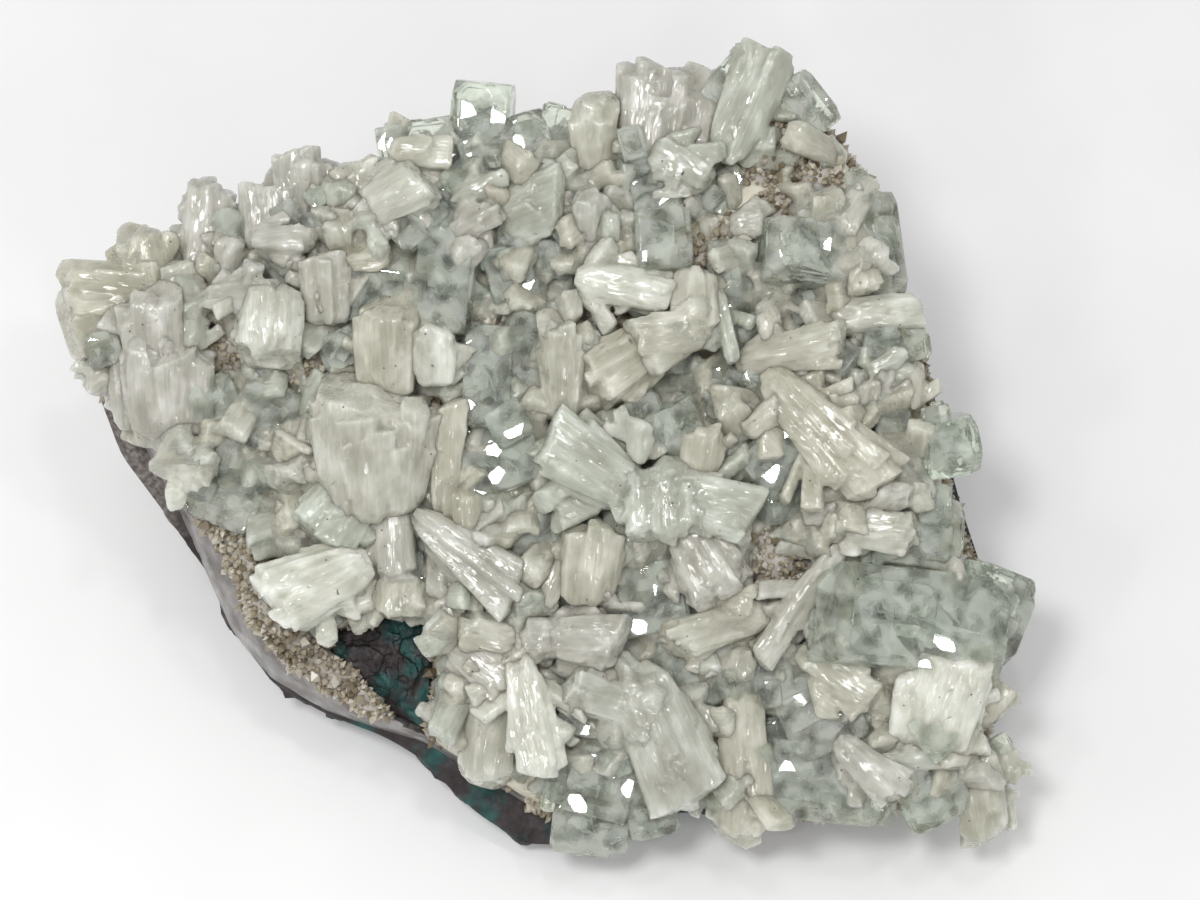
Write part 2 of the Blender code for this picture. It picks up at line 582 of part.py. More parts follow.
def main():
    """Build the specimen."""
    clear_scene()
    scene = bpy.context.scene
    cluster = bpy.data.collections.new("apophyllite_cluster")
    helpers = bpy.data.collections.new("helpers")
    helpers.hide_render = True
    scene.collection.children.link(cluster)
    scene.collection.children.link(helpers)
    face = bpy.data.objects.new("crystal_face", None)
    face.location = FACE_CENTRE * MM
    face.rotation_euler = (FACE_SLOPE, 0.0, 0.0)
    cluster.objects.link(face)
    materials = {name: make_material(name) for name in FINISHES}
    build_rock(cluster, helpers, materials)
    build_crystals(cluster, helpers, materials)


main()
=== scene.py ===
"""Looks of the apophyllite cluster: crystals, quartz druse and basalt, with floor, light and camera.

The tables hold millimetres on the crystal face: u runs to the right, v up the slope and w
straight out of the face, as in the part's source. bench() turns them into metres in the frame.
"""
import math
import random
from collections import namedtuple

import bmesh
import bpy
import numpy as np
from mathutils import Euler, Matrix, Vector, geometry, kdtree, noise


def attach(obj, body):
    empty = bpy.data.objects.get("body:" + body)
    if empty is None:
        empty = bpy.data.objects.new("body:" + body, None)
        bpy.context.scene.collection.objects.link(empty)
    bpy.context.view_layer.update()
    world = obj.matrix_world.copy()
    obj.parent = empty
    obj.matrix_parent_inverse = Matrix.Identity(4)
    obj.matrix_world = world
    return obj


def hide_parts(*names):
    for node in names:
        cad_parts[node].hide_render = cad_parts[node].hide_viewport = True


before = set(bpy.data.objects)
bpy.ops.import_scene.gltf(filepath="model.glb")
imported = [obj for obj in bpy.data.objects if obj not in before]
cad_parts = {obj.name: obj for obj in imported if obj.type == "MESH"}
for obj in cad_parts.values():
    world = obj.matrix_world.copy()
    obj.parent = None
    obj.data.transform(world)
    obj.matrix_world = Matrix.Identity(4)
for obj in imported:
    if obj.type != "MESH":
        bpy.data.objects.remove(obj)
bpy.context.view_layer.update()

MM = 0.001
FACE_SLOPE = math.radians(25.0)
FACE_CENTRE = np.array((-0.5, 0.6, 42.0))
FACE_TURN = np.array(Matrix.Rotation(FACE_SLOPE, 3, "X"))

# The rock, as in the part's source.
CRUST_THICKNESS = 5.0
RELIEF_HEIGHT = 1.6
RELIEF_SCALE = 15.0
CRUST_EDGE_DEPTH = 8.5
FLANK_DEPTH = 14.5
FLANK_START = math.radians(188.0)
FLANK_END = math.radians(242.0)
ROCK_EDGE_DEPTH = 12.5
WALL_LUMP = 2.4
WALL_LUMP_SCALE = 17.0
BASE_SHRINK = 0.93
TUCK_START = 14.0
TUCK_RANGE = 40.0
PATCH_LIFT = 0.8
POCKET_RISE = 4.2
RIM = [
    (65, 0), (63, 11), (58, 24), (55, 40), (48, 50), (41, 58), (28, 58), (15, 56), (4, 51), (-14, 51),
    (-24, 44), (-35, 42), (-49, 36), (-61, 29), (-74, 25), (-73, 14), (-67, 4), (-60, -4), (-50, -14),
    (-45, -27), (-39, -33), (-28, -41), (-16, -48), (-4, -56), (12, -60), (24, -56), (34, -60),
    (58, -58), (72, -59), (73, -46), (74, -30), (68, -12),
]
CRUST_EDGE = [
    (67, 0), (65, 12), (60, 25), (57, 41), (50, 52), (42, 60), (28, 60), (15, 59), (4, 53), (-14, 54),
    (-25, 46), (-35, 45), (-50, 38), (-63, 31), (-77, 26), (-75, 14), (-68, 2), (-61.5, -11),
    (-57.3, -21), (-53, -31), (-46.5, -39), (-37, -44.5), (-28, -47.5), (-20, -49.5), (-9, -56),
    (1, -62), (12, -63), (24, -58), (35, -62), (58, -60), (74, -61), (76, -46), (77, -30), (70, -12),
]
ROCK_EDGE = [
    (69, 0), (66.5, 12), (60, 25), (56, 40), (49, 51), (41, 59), (28, 59), (15, 57), (4, 52), (-14, 52),
    (-25, 45), (-35, 44), (-50, 37), (-63, 30), (-78, 24), (-76, 12), (-71.5, -1), (-63.5, -12),
    (-57.3, -21), (-53, -31), (-46.5, -39), (-37, -44.8), (-28, -48.8), (-19.4, -53.4), (-10.8, -61.2),
    (-3, -66.5), (8, -66.5), (22, -61), (34, -61), (58, -60), (73, -60), (76, -46), (77, -30), (72, -12),
]
PATCH = [
    (-36.5, -31), (-35, -34), (-31.5, -36), (-28, -40.5), (-24.5, -45), (-19.5, -47.5), (-18, -42),
    (-18, -35), (-16.8, -32), (-19, -28), (-24, -27), (-30, -29.5),
]
# Pockets where the druse shows between the crystals: u, v and radius.
POCKETS = [
    (-52, 18.5, 5), (-38, 12.5, 5.5), (38, 51, 6.5), (26.5, 31.5, 3.6), (39, 38.5, 4.2), (32, 36, 2.5),
    (39.5, -18, 5.5), (29, -48, 3.2), (-9, 20, 2.6), (55, 1.5, 3), (27, -12.5, 2.2), (10.5, 21, 4),
    (-16.5, 10, 2.2), (46, 45, 4), (-48, -20, 6), (-47, -26, 5), (-41, -31, 5), (-36, -38, 4.5), (-30, -44, 5),
    (-22, -50, 4), (-54, -12, 4),
]

Sheaf = namedtuple("Sheaf", "base tip width thick root crown roll", defaults=(0.85, 0.3, 0.0))
Block = namedtuple("Block", "centre size turn lean facet", defaults=(0.0, (0.0, 0.0), 0.2))

# The crystals of the part's source, node by node.
CRYSTALS = [
    ("stilbite_big_block", [Sheaf((-27.5, -11, 3), (-27.2, 10.8, 8), 19.5, 14, 0.85, 0.22)]),
    ("stilbite_pearly_fan", [Sheaf((-28, -18, 5), (-44.5, -25.5, 8), 12.5, 7, 0.7, 0.12)]),
    ("stilbite_white_block", [Sheaf((-43.5, 27, 7), (-43.8, 13.5, 10), 11.5, 8, 0.9, 0.5)]),
    ("stilbite_white_rounded", [Sheaf((-17, 10.5, 7), (-17, 21.5, 9), 7.5, 6, 0.9, 0.5)]),
    ("stilbite_centre_bow", [
        Sheaf((15.5, -7, 8), (0.5, 3, 10), 12, 6, 0.7, 0.25),
        Sheaf((16, -5, 8), (36.8, -11.5, 9), 10, 6, 0.75, 0.35),
        Sheaf((20, -3.5, 8), (20.5, -14.6, 9.5), 13, 5, 0.85, 0.12),
    ]),
    ("stilbite_long_blade", [Sheaf((37, 12.8, 6), (56.2, -7.8, 9), 10, 6, 0.55, 0.3)]),
    ("stilbite_oval", [Sheaf((50, -13, 5), (63, -13.2, 7), 7.6, 6, 0.8, 0.5)]),
    ("stilbite_bow_tie", [
        Sheaf((25.7, 29.5, 5), (25.2, 18.5, 9), 8.8, 6, 0.9, 0.2),
        Sheaf((27.5, 20, 8), (15, 17.5, 10), 7.5, 5, 0.9, 0.3),
    ]),
    ("stilbite_white_saddle", [Sheaf((6, 28.7, 7), (22, 24.3, 8), 7, 5, 0.9, 0.3)]),
    ("stilbite_centre_sheaf", [Sheaf((-20.5, -10.5, 5), (-2.5, -24.5, 8), 11, 7, 0.42, 0.3)]),
    ("stilbite_long_lower", [Sheaf((-3.5, -33, 6), (1.3, -53.8, 9), 7.4, 5, 0.75, 0.1)]),
    ("stilbite_big_lower", [
        Sheaf((15.5, -35.5, 4), (24.8, -58.6, 5), 15, 11, 0.72, 0.12),
        Sheaf((17, -43, 5), (3.8, -38.3, 8), 8, 6, 0.8, 0.4),
    ]),
    ("stilbite_silvery_sheaf", [Sheaf((63.5, -49.3, 5), (67.8, -32.8, 8), 16.5, 7, 0.9, 0.3)]),
    ("stilbite_blue_blade", [Sheaf((49, -47.5, 6), (59.6, -57.6, 7), 6, 4.5, 0.8, 0.3)]),
    ("stilbite_rounded_centre", [Sheaf((20.5, 19, 4), (8, 9.3, 8), 10.5, 8, 0.85, 0.3)]),
    ("stilbite_green_sheaf", [Sheaf((4, 4.5, 5), (4.2, 21.5, 8), 8.6, 7, 0.7, 0.3)]),
    ("apophyllite_big_green", [
        Block((60.5, -28.7, 3), (32, 16.5, 13), -6, (-12, 5), 0.28),
        Block((73.5, -27, 0), (12.5, 15, 11), -22, (0, 18), 0.25),
    ]),
    ("apophyllite_rounded_cube", [Block((67.6, 0.7, 1), (9, 9.4, 10), 12, (8, 10), 0.24)]),
    ("apophyllite_teal_block", [Block((43.3, 32, 3), (14, 10.5, 11), -4, (-14, 8), 0.18)]),
    ("apophyllite_bright", [Block((22.8, 4, 6), (8.4, 8, 8), 24, (10, -8), 0.26)]),
    ("stilbite_pale_block", [Sheaf((-25, 8.5, 4), (-25.3, 24.6, 8), 11.2, 9, 0.92, 0.3)]),
    ("stilbite_pink_column", [Sheaf((-35, 20.5, 4), (-36, 33, 6), 8.5, 7, 0.9, 0.3)]),
    ("stilbite_scalloped", [Sheaf((-29.5, -5, 4), (-37.3, -14.8, 7), 11.5, 7, 0.8, 0.2)]),
    ("stilbite_rounded_low", [Sheaf((7.5, -25.5, 4), (9.5, -10.8, 7), 10.5, 8, 0.85, 0.5)]),
    ("stilbite_right_round", [Sheaf((24.5, -13, 5), (31.5, -24.6, 8), 12, 8, 0.8, 0.4)]),
    ("stilbite_pearly_low", [
        Sheaf((2.5, -31, 5), (14.2, -31, 8), 10.5, 6, 0.7, 0.2),
        Sheaf((5.5, -31, 4), (-3.8, -30.5, 6), 7.5, 6, 0.9, 0.5),
    ]),
    ("stilbite_hanging_column", [Sheaf((33, -38, 4), (34.2, -65.3, 0), 9, 8, 0.68, 0.45)]),
    ("stilbite_diagonal", [Sheaf((50.3, -15.5, 5), (34.7, -34.8, 7), 5.2, 5, 0.9, 0.2)]),
    ("stilbite_striated", [Sheaf((32.5, 14.3, 4), (50.8, 18.6, 8), 7.2, 5, 0.8, 0.3)]),
    ("stilbite_right_white", [Sheaf((47.5, 21.3, 4), (63.6, 23.8, 4), 6.4, 5.5, 0.9, 0.3)]),
    ("stilbite_lilac_plate", [Sheaf((-7, 38, 3), (4.8, 42, 8), 11, 5, 0.9, 0.3)]),
    ("stilbite_jagged_white", [Sheaf((-28, 39.7, 6), (-18.4, 44.8, 9), 9, 5, 0.8, 0.3)]),
    ("stilbite_lilac_left", [
        Sheaf((-60.8, 2, 1), (-61, 18.6, 5), 15, 9, 0.95, 0.15),
        Sheaf((-68.3, 3.5, -1), (-69, 16.5, 2), 6.6, 7, 0.9, 0.3),
        Sheaf((-63.5, 16, 4), (-63.3, 26, 7), 11, 8, 0.95, 0.25),
    ]),
    ("stilbite_left_lobes", [
        Sheaf((-63, 25, 0), (-80.2, 20.5, 1), 13.5, 9, 0.9, 0.3),
        Sheaf((-63, 27, 1), (-79.3, 28.6, 2), 8.6, 8, 0.9, 0.4),
        Sheaf((-64.5, 24, 1), (-66, 36.8, 1), 9, 8, 0.95, 0.45),
    ]),
    ("stilbite_pink_finger", [Sheaf((-56, 28.5, 0), (-53.8, 45, 1), 8.8, 7, 0.95, 0.45)]),
    ("stilbite_left_fingers", [
        Sheaf((-39.5, 35.5, 0), (-40.7, 51, 1), 8.4, 7, 0.95, 0.45),
        Sheaf((-37.5, 37, 0), (-34.8, 48, 0), 6.4, 6, 0.9, 0.4),
        Sheaf((-45.5, 33, 1), (-46.8, 44.8, 1), 8.4, 7, 0.9, 0.45),
    ]),
    ("stilbite_low_roof", [Sheaf((-29.5, 38, 0), (-30.8, 49, 1), 11, 7, 0.95, 0.4)]),
    ("stilbite_top_cream", [Sheaf((8.3, 45.5, 2), (9.8, 59.3, 4), 8.4, 7, 0.85, 0.4)]),
    ("stilbite_top_large", [
        Sheaf((18, 46, 2), (19.5, 63.6, 1), 15, 9, 0.8, 0.1),
        Sheaf((25, 48, 2), (27.5, 63.8, 1), 9, 8, 0.9, 0.2),
    ]),
    ("stilbite_saddle", [Sheaf((30, 47.5, 4), (39, 67, 4), 9.8, 6, 0.75, 0.2)]),
    ("stilbite_cream_lower", [Sheaf((-14, -31, 3), (-3.5, -39.5, 6), 9.6, 7, 0.9, 0.4)]),
    ("stilbite_rounded_lower", [Sheaf((-7.5, -39, 2), (-10, -56.3, 1), 9.4, 8, 0.9, 0.5)]),
    ("stilbite_corner_column", [Sheaf((72.5, -49, 1), (75.2, -65, 0), 8.6, 8, 0.85, 0.1)]),
    ("apophyllite_tabular", [Block((40, -2.5, 3), (10.5, 12, 7), 40, (8, 0), 0.15)]),
    ("apophyllite_green_column", [Block((20, 35.3, 2), (9.2, 13, 11), 3, (-10, 6), 0.2)]),
    ("apophyllite_pale_column", [
        Block((-15.5, 27.5, 4), (9, 17.5, 9), -4, (-8, -6), 0.22),
        Block((-16.4, 38, 3), (5.5, 6, 6), 45, (0, 0), 0.25),
    ]),
    ("apophyllite_clear_left", [Block((-27, 26.5, 2), (13, 8.5, 8), -8, (10, 0), 0.22)]),
    ("apophyllite_grey_left", [Block((-51, -6.2, -1), (13.5, 12, 10), -20, (12, -14), 0.2)]),
    ("apophyllite_centre_green", [Block((-8.8, 12, 3), (8, 16.5, 9), -3, (-6, 4), 0.24)]),
    ("apophyllite_centre_slab", [Block((-7, -1.5, 2), (13.5, 11.5, 9), 18, (-8, 6), 0.2)]),
    ("apophyllite_grey_right", [Block((62, -13.8, 0), (14.5, 12, 10), -8, (-8, 10), 0.24)]),
    ("apophyllite_right_edge", [Block((56, 34, 0), (6.6, 17, 9), 8, (0, 12), 0.24)]),
    ("apophyllite_top_blocks", [
        Block((-20.3, 50.3, 0), (13, 9, 9), 10, (6, 0), 0.22),
        Block((-9.6, 55.3, 0), (9.6, 12, 9), -6, (8, -6), 0.22),
        Block((-2.2, 51.5, 1), (8, 8.5, 8), 20, (0, 0), 0.28),
    ]),
    ("apophyllite_green_oval", [Block((32.2, 60.3, 1), (9, 8, 8), 50, (0, 10), 0.28)]),
    ("apophyllite_top_right", [Block((44, 57, 0), (7, 10.5, 8), 38, (0, 10), 0.24)]),
    ("apophyllite_bottom_group", [
        Block((10, -55.5, 1), (11, 11.5, 9), -14, (-8, 0), 0.2),
        Block((17.8, -58.7, 0), (8.5, 10.5, 9), 12, (6, 8), 0.2),
        Block((8.5, -62, -2), (13, 8.5, 9), -6, (10, 0), 0.22),
    ]),
    ("apophyllite_corner_mass", [
        Block((47.5, -55, 0), (20, 13, 10), -6, (0, 0), 0.22),
        Block((46.5, -44, 1), (13, 13, 9), 24, (-8, 0), 0.24),
        Block((41.5, -52, 0), (9, 14, 9), 8, (0, -8), 0.22),
    ]),
    ("apophyllite_round", [Block((64.8, -56.5, 1), (11, 11, 9), 30, (0, 0), 0.3)]),
]

# The whitest, most pearly of them; their colour is lifted past their own white as a painted sheen.
WHITEST_WITH_PAINTED_SHEEN = [
    "stilbite_pearly_fan", "stilbite_white_block", "stilbite_white_rounded", "stilbite_white_saddle",
    "stilbite_jagged_white", "stilbite_silvery_sheaf", "stilbite_oval", "stilbite_right_white",
    "stilbite_long_lower",
]

# Smaller stilbite that stands between the large crystals.
SMALL_STILBITE = [
    Sheaf((-55.5, 25, 6), (-41.5, 25.3, 10), 6, 3.6, 0.8, 0.2),
    Sheaf((-52, 29, 2), (-50.8, 36, 4), 5, 5, 0.9, 0.5),
    Sheaf((-47.5, 34.3, 7), (-36.5, 34.8, 7), 4.6, 4, 0.7, 0.5),
    Sheaf((-24.8, 49.3, 5), (-13.3, 48.8, 5), 6.2, 5, 0.7, 0.5),
    Sheaf((-31, 37.5, 5), (-25, 38.8, 7), 4.2, 3.6, 0.8, 0.3),
    Sheaf((-33, 33, 4), (-33, 38.8, 7), 4.8, 4, 0.9, 0.4),
    Sheaf((-34, 40, 3), (-34.2, 45, 4), 4.2, 4, 0.9, 0.4),
    Sheaf((-14.7, 35.2, 6), (-6.4, 39.9, 8), 4.6, 3, 0.8, 0.3),
    Sheaf((-14.5, 41, 5), (-4.6, 45.2, 7), 3.6, 3, 0.8, 0.3),
    Sheaf((7.8, 34.3, 5), (7.9, 42.6, 8), 4.8, 3.6, 0.9, 0.3),
    Sheaf((-29.4, 38.4, 6), (-24.6, 32.6, 8), 2.2, 2, 0.8, 0.3),
    Sheaf((-33.8, 30.7, 5), (-24.4, 32, 7), 4, 3.6, 0.8, 0.3),
    Sheaf((18.8, 50.4, 6), (28.7, 44.2, 8), 5, 3.6, 0.8, 0.4),
    Sheaf((18.4, 41.9, 6), (25.6, 42.7, 7), 2.1, 2, 0.8, 0.3),
    Sheaf((31.5, 37, 3), (37.8, 38, 5), 5, 4, 0.9, 0.3),
    Sheaf((12.4, 31, 4), (12.6, 35.4, 6), 3.2, 3, 0.9, 0.4),
    Sheaf((14.3, 35.8, 4), (14.8, 39.4, 6), 3.2, 3, 0.9, 0.4),
    Sheaf((51, 39.8, 3), (53.2, 24.8, 7), 4.8, 4.6, 0.9, 0.3),
    Sheaf((-58, 16.6, 4), (-57.8, 26.4, 6), 6.6, 6, 0.9, 0.4),
    Sheaf((-58.5, 24, 3), (-58.8, 31.6, 4), 7.4, 6, 0.9, 0.4),
    Sheaf((-45.2, 4.2, 4), (-36.8, -0.2, 7), 1.7, 1.6, 0.8, 0.3),
    Sheaf((-43.4, 12, 2), (-39.2, 16.6, 5), 2.8, 2.4, 0.7, 0.3),
    Sheaf((-39.7, 4.6, 3), (-35.2, 13.2, 5), 3.4, 3, 0.8, 0.3),
    Sheaf((-51.2, 18, 2), (-50.4, 24.4, 5), 3.6, 3.2, 0.8, 0.4),
    Sheaf((-41.4, -18.6, 2), (-41.8, -7.6, 4), 4, 4, 0.8, 0.4),
    Sheaf((-23, -20, 5), (-23.4, -27.5, 7), 7.8, 4.4, 0.95, 0.08),
    Sheaf((-24, -8, 4), (-23.4, -21, 6), 7.2, 6, 0.9, 0.15),
    Sheaf((-12, -21, 4), (-12.2, -6.4, 7), 6.2, 5, 0.8, 0.3),
    Sheaf((-15.5, -11, 5), (-15, 9, 8), 5, 6, 0.8, 0.3),
    Sheaf((-17.4, -25.4, 6), (-10.8, -23.2, 7), 3.4, 3, 0.7, 0.5),
    Sheaf((-16.8, -24, 4), (-16.4, -30.4, 5), 5.4, 5, 0.9, 0.3),
    Sheaf((-7.2, -13, 5), (-6.8, -7.2, 7), 5.2, 4, 0.9, 0.2),
    Sheaf((4.5, -16.5, 4), (0, -26.5, 6), 4.2, 4, 0.9, 0.2),
    Sheaf((-1, -33, 3), (-14.8, -29, 6), 8, 7, 0.85, 0.4),
    Sheaf((39, -26.4, 4), (20.4, -31, 7), 7.6, 6, 0.8, 0.4),
    Sheaf((33.5, -32.5, 5), (33.2, -38.6, 6), 5, 4, 0.9, 0.4),
    Sheaf((30.6, -24.6, 7), (35.6, -26.4, 8), 3.4, 3, 0.8, 0.5),
    Sheaf((-4.6, -38.4, 6), (-12.4, -39.6, 7), 2.8, 2.6, 0.8, 0.4),
    Sheaf((49.5, 0.4, 4), (49.6, 10.6, 6), 5.6, 5, 0.9, 0.3),
    Sheaf((54, 12.6, 5), (60.6, 16.4, 6), 3.4, 3, 0.8, 0.4),
    Sheaf((62, 7, 2), (61.8, 13.4, 4), 4.6, 4, 0.9, 0.3),
    Sheaf((54, 6.8, 5), (54.2, 11.4, 6), 4.2, 3, 0.9, 0.2),
    Sheaf((43.4, -10.6, 4), (49.6, -9.2, 6), 5.4, 4.6, 0.8, 0.5),
    Sheaf((26, -4.4, 6), (27.5, 4.4, 8), 8.2, 7, 0.9, 0.5),
    Sheaf((16, -2, 8), (16.4, 5.6, 10), 4.6, 4, 0.9, 0.4),
    Sheaf((29.6, 26.4, 6), (31.6, 13.8, 8), 2.8, 5, 0.9, 0.2),
    Sheaf((42.5, -33.4, 5), (55.6, -41.4, 7), 5.2, 4, 0.9, 0.3),
    Sheaf((73.5, -46, 2), (72.6, -33.6, 4), 6, 5, 0.9, 0.2),
    Sheaf((28, -54, 1), (28, -59.4, 1), 4.6, 4, 0.9, 0.4),
    Sheaf((6.5, 12, 6), (8.4, 20.4, 8), 5.6, 5, 0.8, 0.4),
    Sheaf((0.6, 43.4, 4), (6.4, 47.8, 6), 4.8, 4, 0.8, 0.4),
    Sheaf((7, 44, 3), (12.4, 47.4, 5), 4.4, 4, 0.8, 0.4),
    Sheaf((34, 2.4, 6), (40.6, 8.4, 7), 5.4, 4, 0.8, 0.2),
    Sheaf((54.4, -51.4, 5), (70.4, -50.6, 6), 3.4, 1.6, 0.9, 0.2),
    Sheaf((-70.5, 13, 1), (-75.6, 10.6, 1), 5, 5, 0.9, 0.5),
    Sheaf((50.6, 40.6, 1), (54.2, 43.6, 2), 4, 3.4, 0.8, 0.3),
]

# Smaller apophyllite.
SMALL_APOPHYLLITE = [
    Block((-72, 16.8, 3), (6, 6, 5.5), 20, (0, 0), 0.3),
    Block((-52, 37, 1), (6.4, 6, 6), 12, (0, 0), 0.3),
    Block((-42, 39, 3), (4.6, 4.4, 4), 30, (10, 0), 0.22),
    Block((-37, 41.5, 4), (3.2, 3.2, 3), 40, (10, 10), 0.25),
    Block((-12, 49.6, 4), (3.2, 3.2, 3), 18, (0, 10), 0.28),
    Block((-12, 45.3, 3), (8.4, 6.6, 6), 38, (8, 0), 0.2),
    Block((-22, 36.4, 4), (5.6, 6.4, 6), 45, (10, 0), 0.2),
    Block((-37, 37, 4), (4.8, 4.8, 4), 22, (0, 12), 0.25),
    Block((3, 53.4, 1), (6.4, 7.6, 7), -12, (8, 0), 0.25),
    Block((15.3, 50.5, 6), (4.2, 5.6, 4.6), 14, (0, 0), 0.22),
    Block((16.6, 47.8, 5), (3.4, 3.4, 3.4), 30, (8, 0), 0.2),
    Block((-32.5, 17, 4), (6, 6.2, 6), 24, (8, -8), 0.22),
    Block((-54, 8.4, 3), (7.8, 7.8, 7), 22, (8, 8), 0.25),
    Block((-45, 6.6, 2), (9.6, 8.6, 7), -12, (0, 8), 0.22),
    Block((-45.2, 12.6, 3), (4, 4.8, 4), 18, (0, 0), 0.22),
    Block((-5, 28.6, 3), (7.6, 8.6, 7), 14, (-10, 6), 0.2),
    Block((2.6, 31, 3), (4.8, 5.4, 5), -10, (0, 10), 0.2),
    Block((-2.4, 13.6, 3), (5, 10.6, 6), 4, (0, 8), 0.2),
    Block((-5.4, 4.6, 6), (6.6, 6.6, 5), 30, (12, 6), 0.22),
    Block((17, 6.8, 5), (5.8, 5.8, 5), 20, (0, 10), 0.25),
    Block((29.6, 8.6, 3), (4.8, 6.8, 5), 10, (0, 0), 0.22),
    Block((32.6, 12.2, 2), (7.6, 3.6, 4), 24, (0, 0), 0.22),
    Block((35.6, 20.4, 2), (7.8, 5.4, 5), 12, (8, 0), 0.2),
    Block((43.6, 23.6, 2), (5, 5, 5), 20, (0, 6), 0.22),
    Block((30.8, 30.6, 2), (5.6, 8.4, 6), 4, (0, -8), 0.2),
    Block((59.4, 17.2, 1), (9.6, 5.4, 6), 8, (0, 8), 0.2),
    Block((58.4, 4.2, 2), (6, 6, 5.4), 26, (8, 0), 0.28),
    Block((66, 5.6, 0), (4.6, 3.8, 4), 10, (0, 0), 0.25),
    Block((59.6, -1.8, 1), (5.4, 5.2, 5), 16, (0, 8), 0.25),
    Block((54, -18, 4), (1.9, 1.9, 1.8), 20, (0, 0), 0.25),
    Block((55.8, -18.4, 4), (1.8, 1.8, 1.8), 40, (0, 0), 0.25),
    Block((0.6, -13.6, 2), (10.6, 8, 7), -14, (8, 6), 0.2),
    Block((18.6, -24.8, 2), (10.6, 11.6, 7), 12, (-8, 0), 0.2),
    Block((25.4, -36, 1), (13.4, 9, 7), -18, (8, 0), 0.22),
    Block((4, -55.4, 3), (4, 6.4, 2.6), -16, (0, 20), 0.15),
    Block((1.4, -57.4, 2), (2, 5, 3), -8, (0, 16), 0.15),
    Block((7, -45.3, 4), (6, 3.8, 4), -10, (0, 0), 0.15),
    Block((11.2, -47.6, 5), (2.6, 2.6, 2.6), 34, (10, 0), 0.22),
    Block((77, -49, 0), (3.2, 3.2, 3.2), 30, (0, 0), 0.28),
    Block((66.4, -45.4, 8), (10, 8, 2.2), 36, (0, 8), 0.15),
    Block((54.6, -58.2, 1), (9, 6.6, 6), -16, (0, 0), 0.22),
    Block((-33, 24.6, 3), (6, 7, 5), 12, (0, 0), 0.2),
    Block((51.6, 33, 2), (4.6, 6.6, 5), 12, (0, 0), 0.22),
    Block((41.6, 60.6, 1), (2.2, 4.2, 2.2), 32, (0, 0), 0.2),
    Block((-40.6, -2.6, 2), (6.4, 6, 5), -18, (0, 0), 0.22),
    Block((38.4, -38.6, 2), (7, 8, 6), 10, (0, 8), 0.22),
    Block((12.6, -51.4, 4), (5.4, 5.2, 4.6), 20, (0, 0), 0.2),
    Block((22.6, 44.4, 3), (4.4, 4, 4), 16, (0, 0), 0.22),
    Block((-2.6, 33.6, 4), (4.4, 4, 4), 34, (8, 0), 0.22),
    Block((47.6, 49.4, 1), (4.2, 4.6, 4.4), 24, (0, 8), 0.22),
    Block((52.6, 44.4, 0), (4, 4.4, 4), 12, (0, 8), 0.22),
]

SEED = 11
ROCK_RIM_DROP = 0.6
PATCH_MIDDLE = (-25.0, -36.0)


def bench(points):
    """From millimetres on the face to metres in the frame."""
    return (np.asarray(points, float) @ FACE_TURN.T + FACE_CENTRE) * MM


def to_face(point):
    """From millimetres over the bench to millimetres on the face."""
    return FACE_TURN.T @ (np.asarray(point, float) - FACE_CENTRE)


def ray_radius(outline, angle):
    """How far the outline lies from the face centre in one direction."""
    far_point = Vector((math.cos(angle), math.sin(angle))) * 200.0
    for start, end in zip(outline, outline[1:] + outline[:1]):
        hit = geometry.intersect_line_line_2d((0.0, 0.0), far_point, start, end)
        if hit:
            return hit.length
    raise ValueError("the outline doesn't go round the face centre")


def relief(u, v):
    """Height of the crust's surface on the face."""
    return RELIEF_HEIGHT * noise.noise(Vector((u, v, 0.0)) / RELIEF_SCALE)


def lumps(u, v, w, scale=WALL_LUMP_SCALE):
    """Uneven rock, as a number between about -1 and 1."""
    return noise.noise(Vector((u, v, w)) / scale + Vector((7.0, 3.0, 5.0)))


def rough(u, v, w, scale, octaves=4):
    """Finer unevenness in several sizes, between about -1 and 1."""
    return noise.fractal(Vector((u, v, w)) / scale, 0.9, 2.1, octaves)


def facets(u, v, w, scale):
    """Height of tilted breaks, as broken rock shows them."""
    _, corners = noise.voronoi(Vector((u, v, w)) / scale)
    tilt = noise.cell_vector(corners[0] * 3.7) - Vector((0.5, 0.5, 0.5))
    return (Vector((u, v, w)) / scale - corners[0]).dot(tilt) + 0.5 * tilt[2]


def crust_edge_depth(angle):
    """The crust hangs deeper over the flank at the lower left."""
    middle = (FLANK_START + FLANK_END) / 2
    half = (FLANK_END - FLANK_START) / 2
    closeness = max(0.0, 1.0 - ((angle - middle) / (half * 1.5)) ** 2)
    return CRUST_EDGE_DEPTH + (FLANK_DEPTH - CRUST_EDGE_DEPTH) * closeness


def flank_drop(u, v):
    """How far the surface has fallen below the face where it rounds over to the flank."""
    angle = math.atan2(v, u) % (2 * math.pi)
    radius = math.hypot(u, v)
    inner = ray_radius(RIM, angle) * 0.95
    outer = ray_radius(CRUST_EDGE, angle)
    share = min(1.0, max(0.0, (radius - inner) / (outer - inner)))
    return 1.5 + (crust_edge_depth(angle) - 1.5) * share ** 1.3


def inside_patch(u, v):
    """How far inside the bare patch a point is, negative outside it."""
    nearest = 1e9
    inside = False
    for (x0, y0), (x1, y1) in zip(PATCH, PATCH[1:] + PATCH[:1]):
        if (y0 > v) != (y1 > v) and u < (x1 - x0) * (v - y0) / (y1 - y0) + x0:
            inside = not inside
        along = ((u - x0) * (x1 - x0) + (v - y0) * (y1 - y0)) / ((x1 - x0) ** 2 + (y1 - y0) ** 2)
        along = min(1.0, max(0.0, along))
        nearest = min(nearest, math.hypot(u - x0 - along * (x1 - x0), v - y0 - along * (y1 - y0)))
    return nearest if inside else -nearest


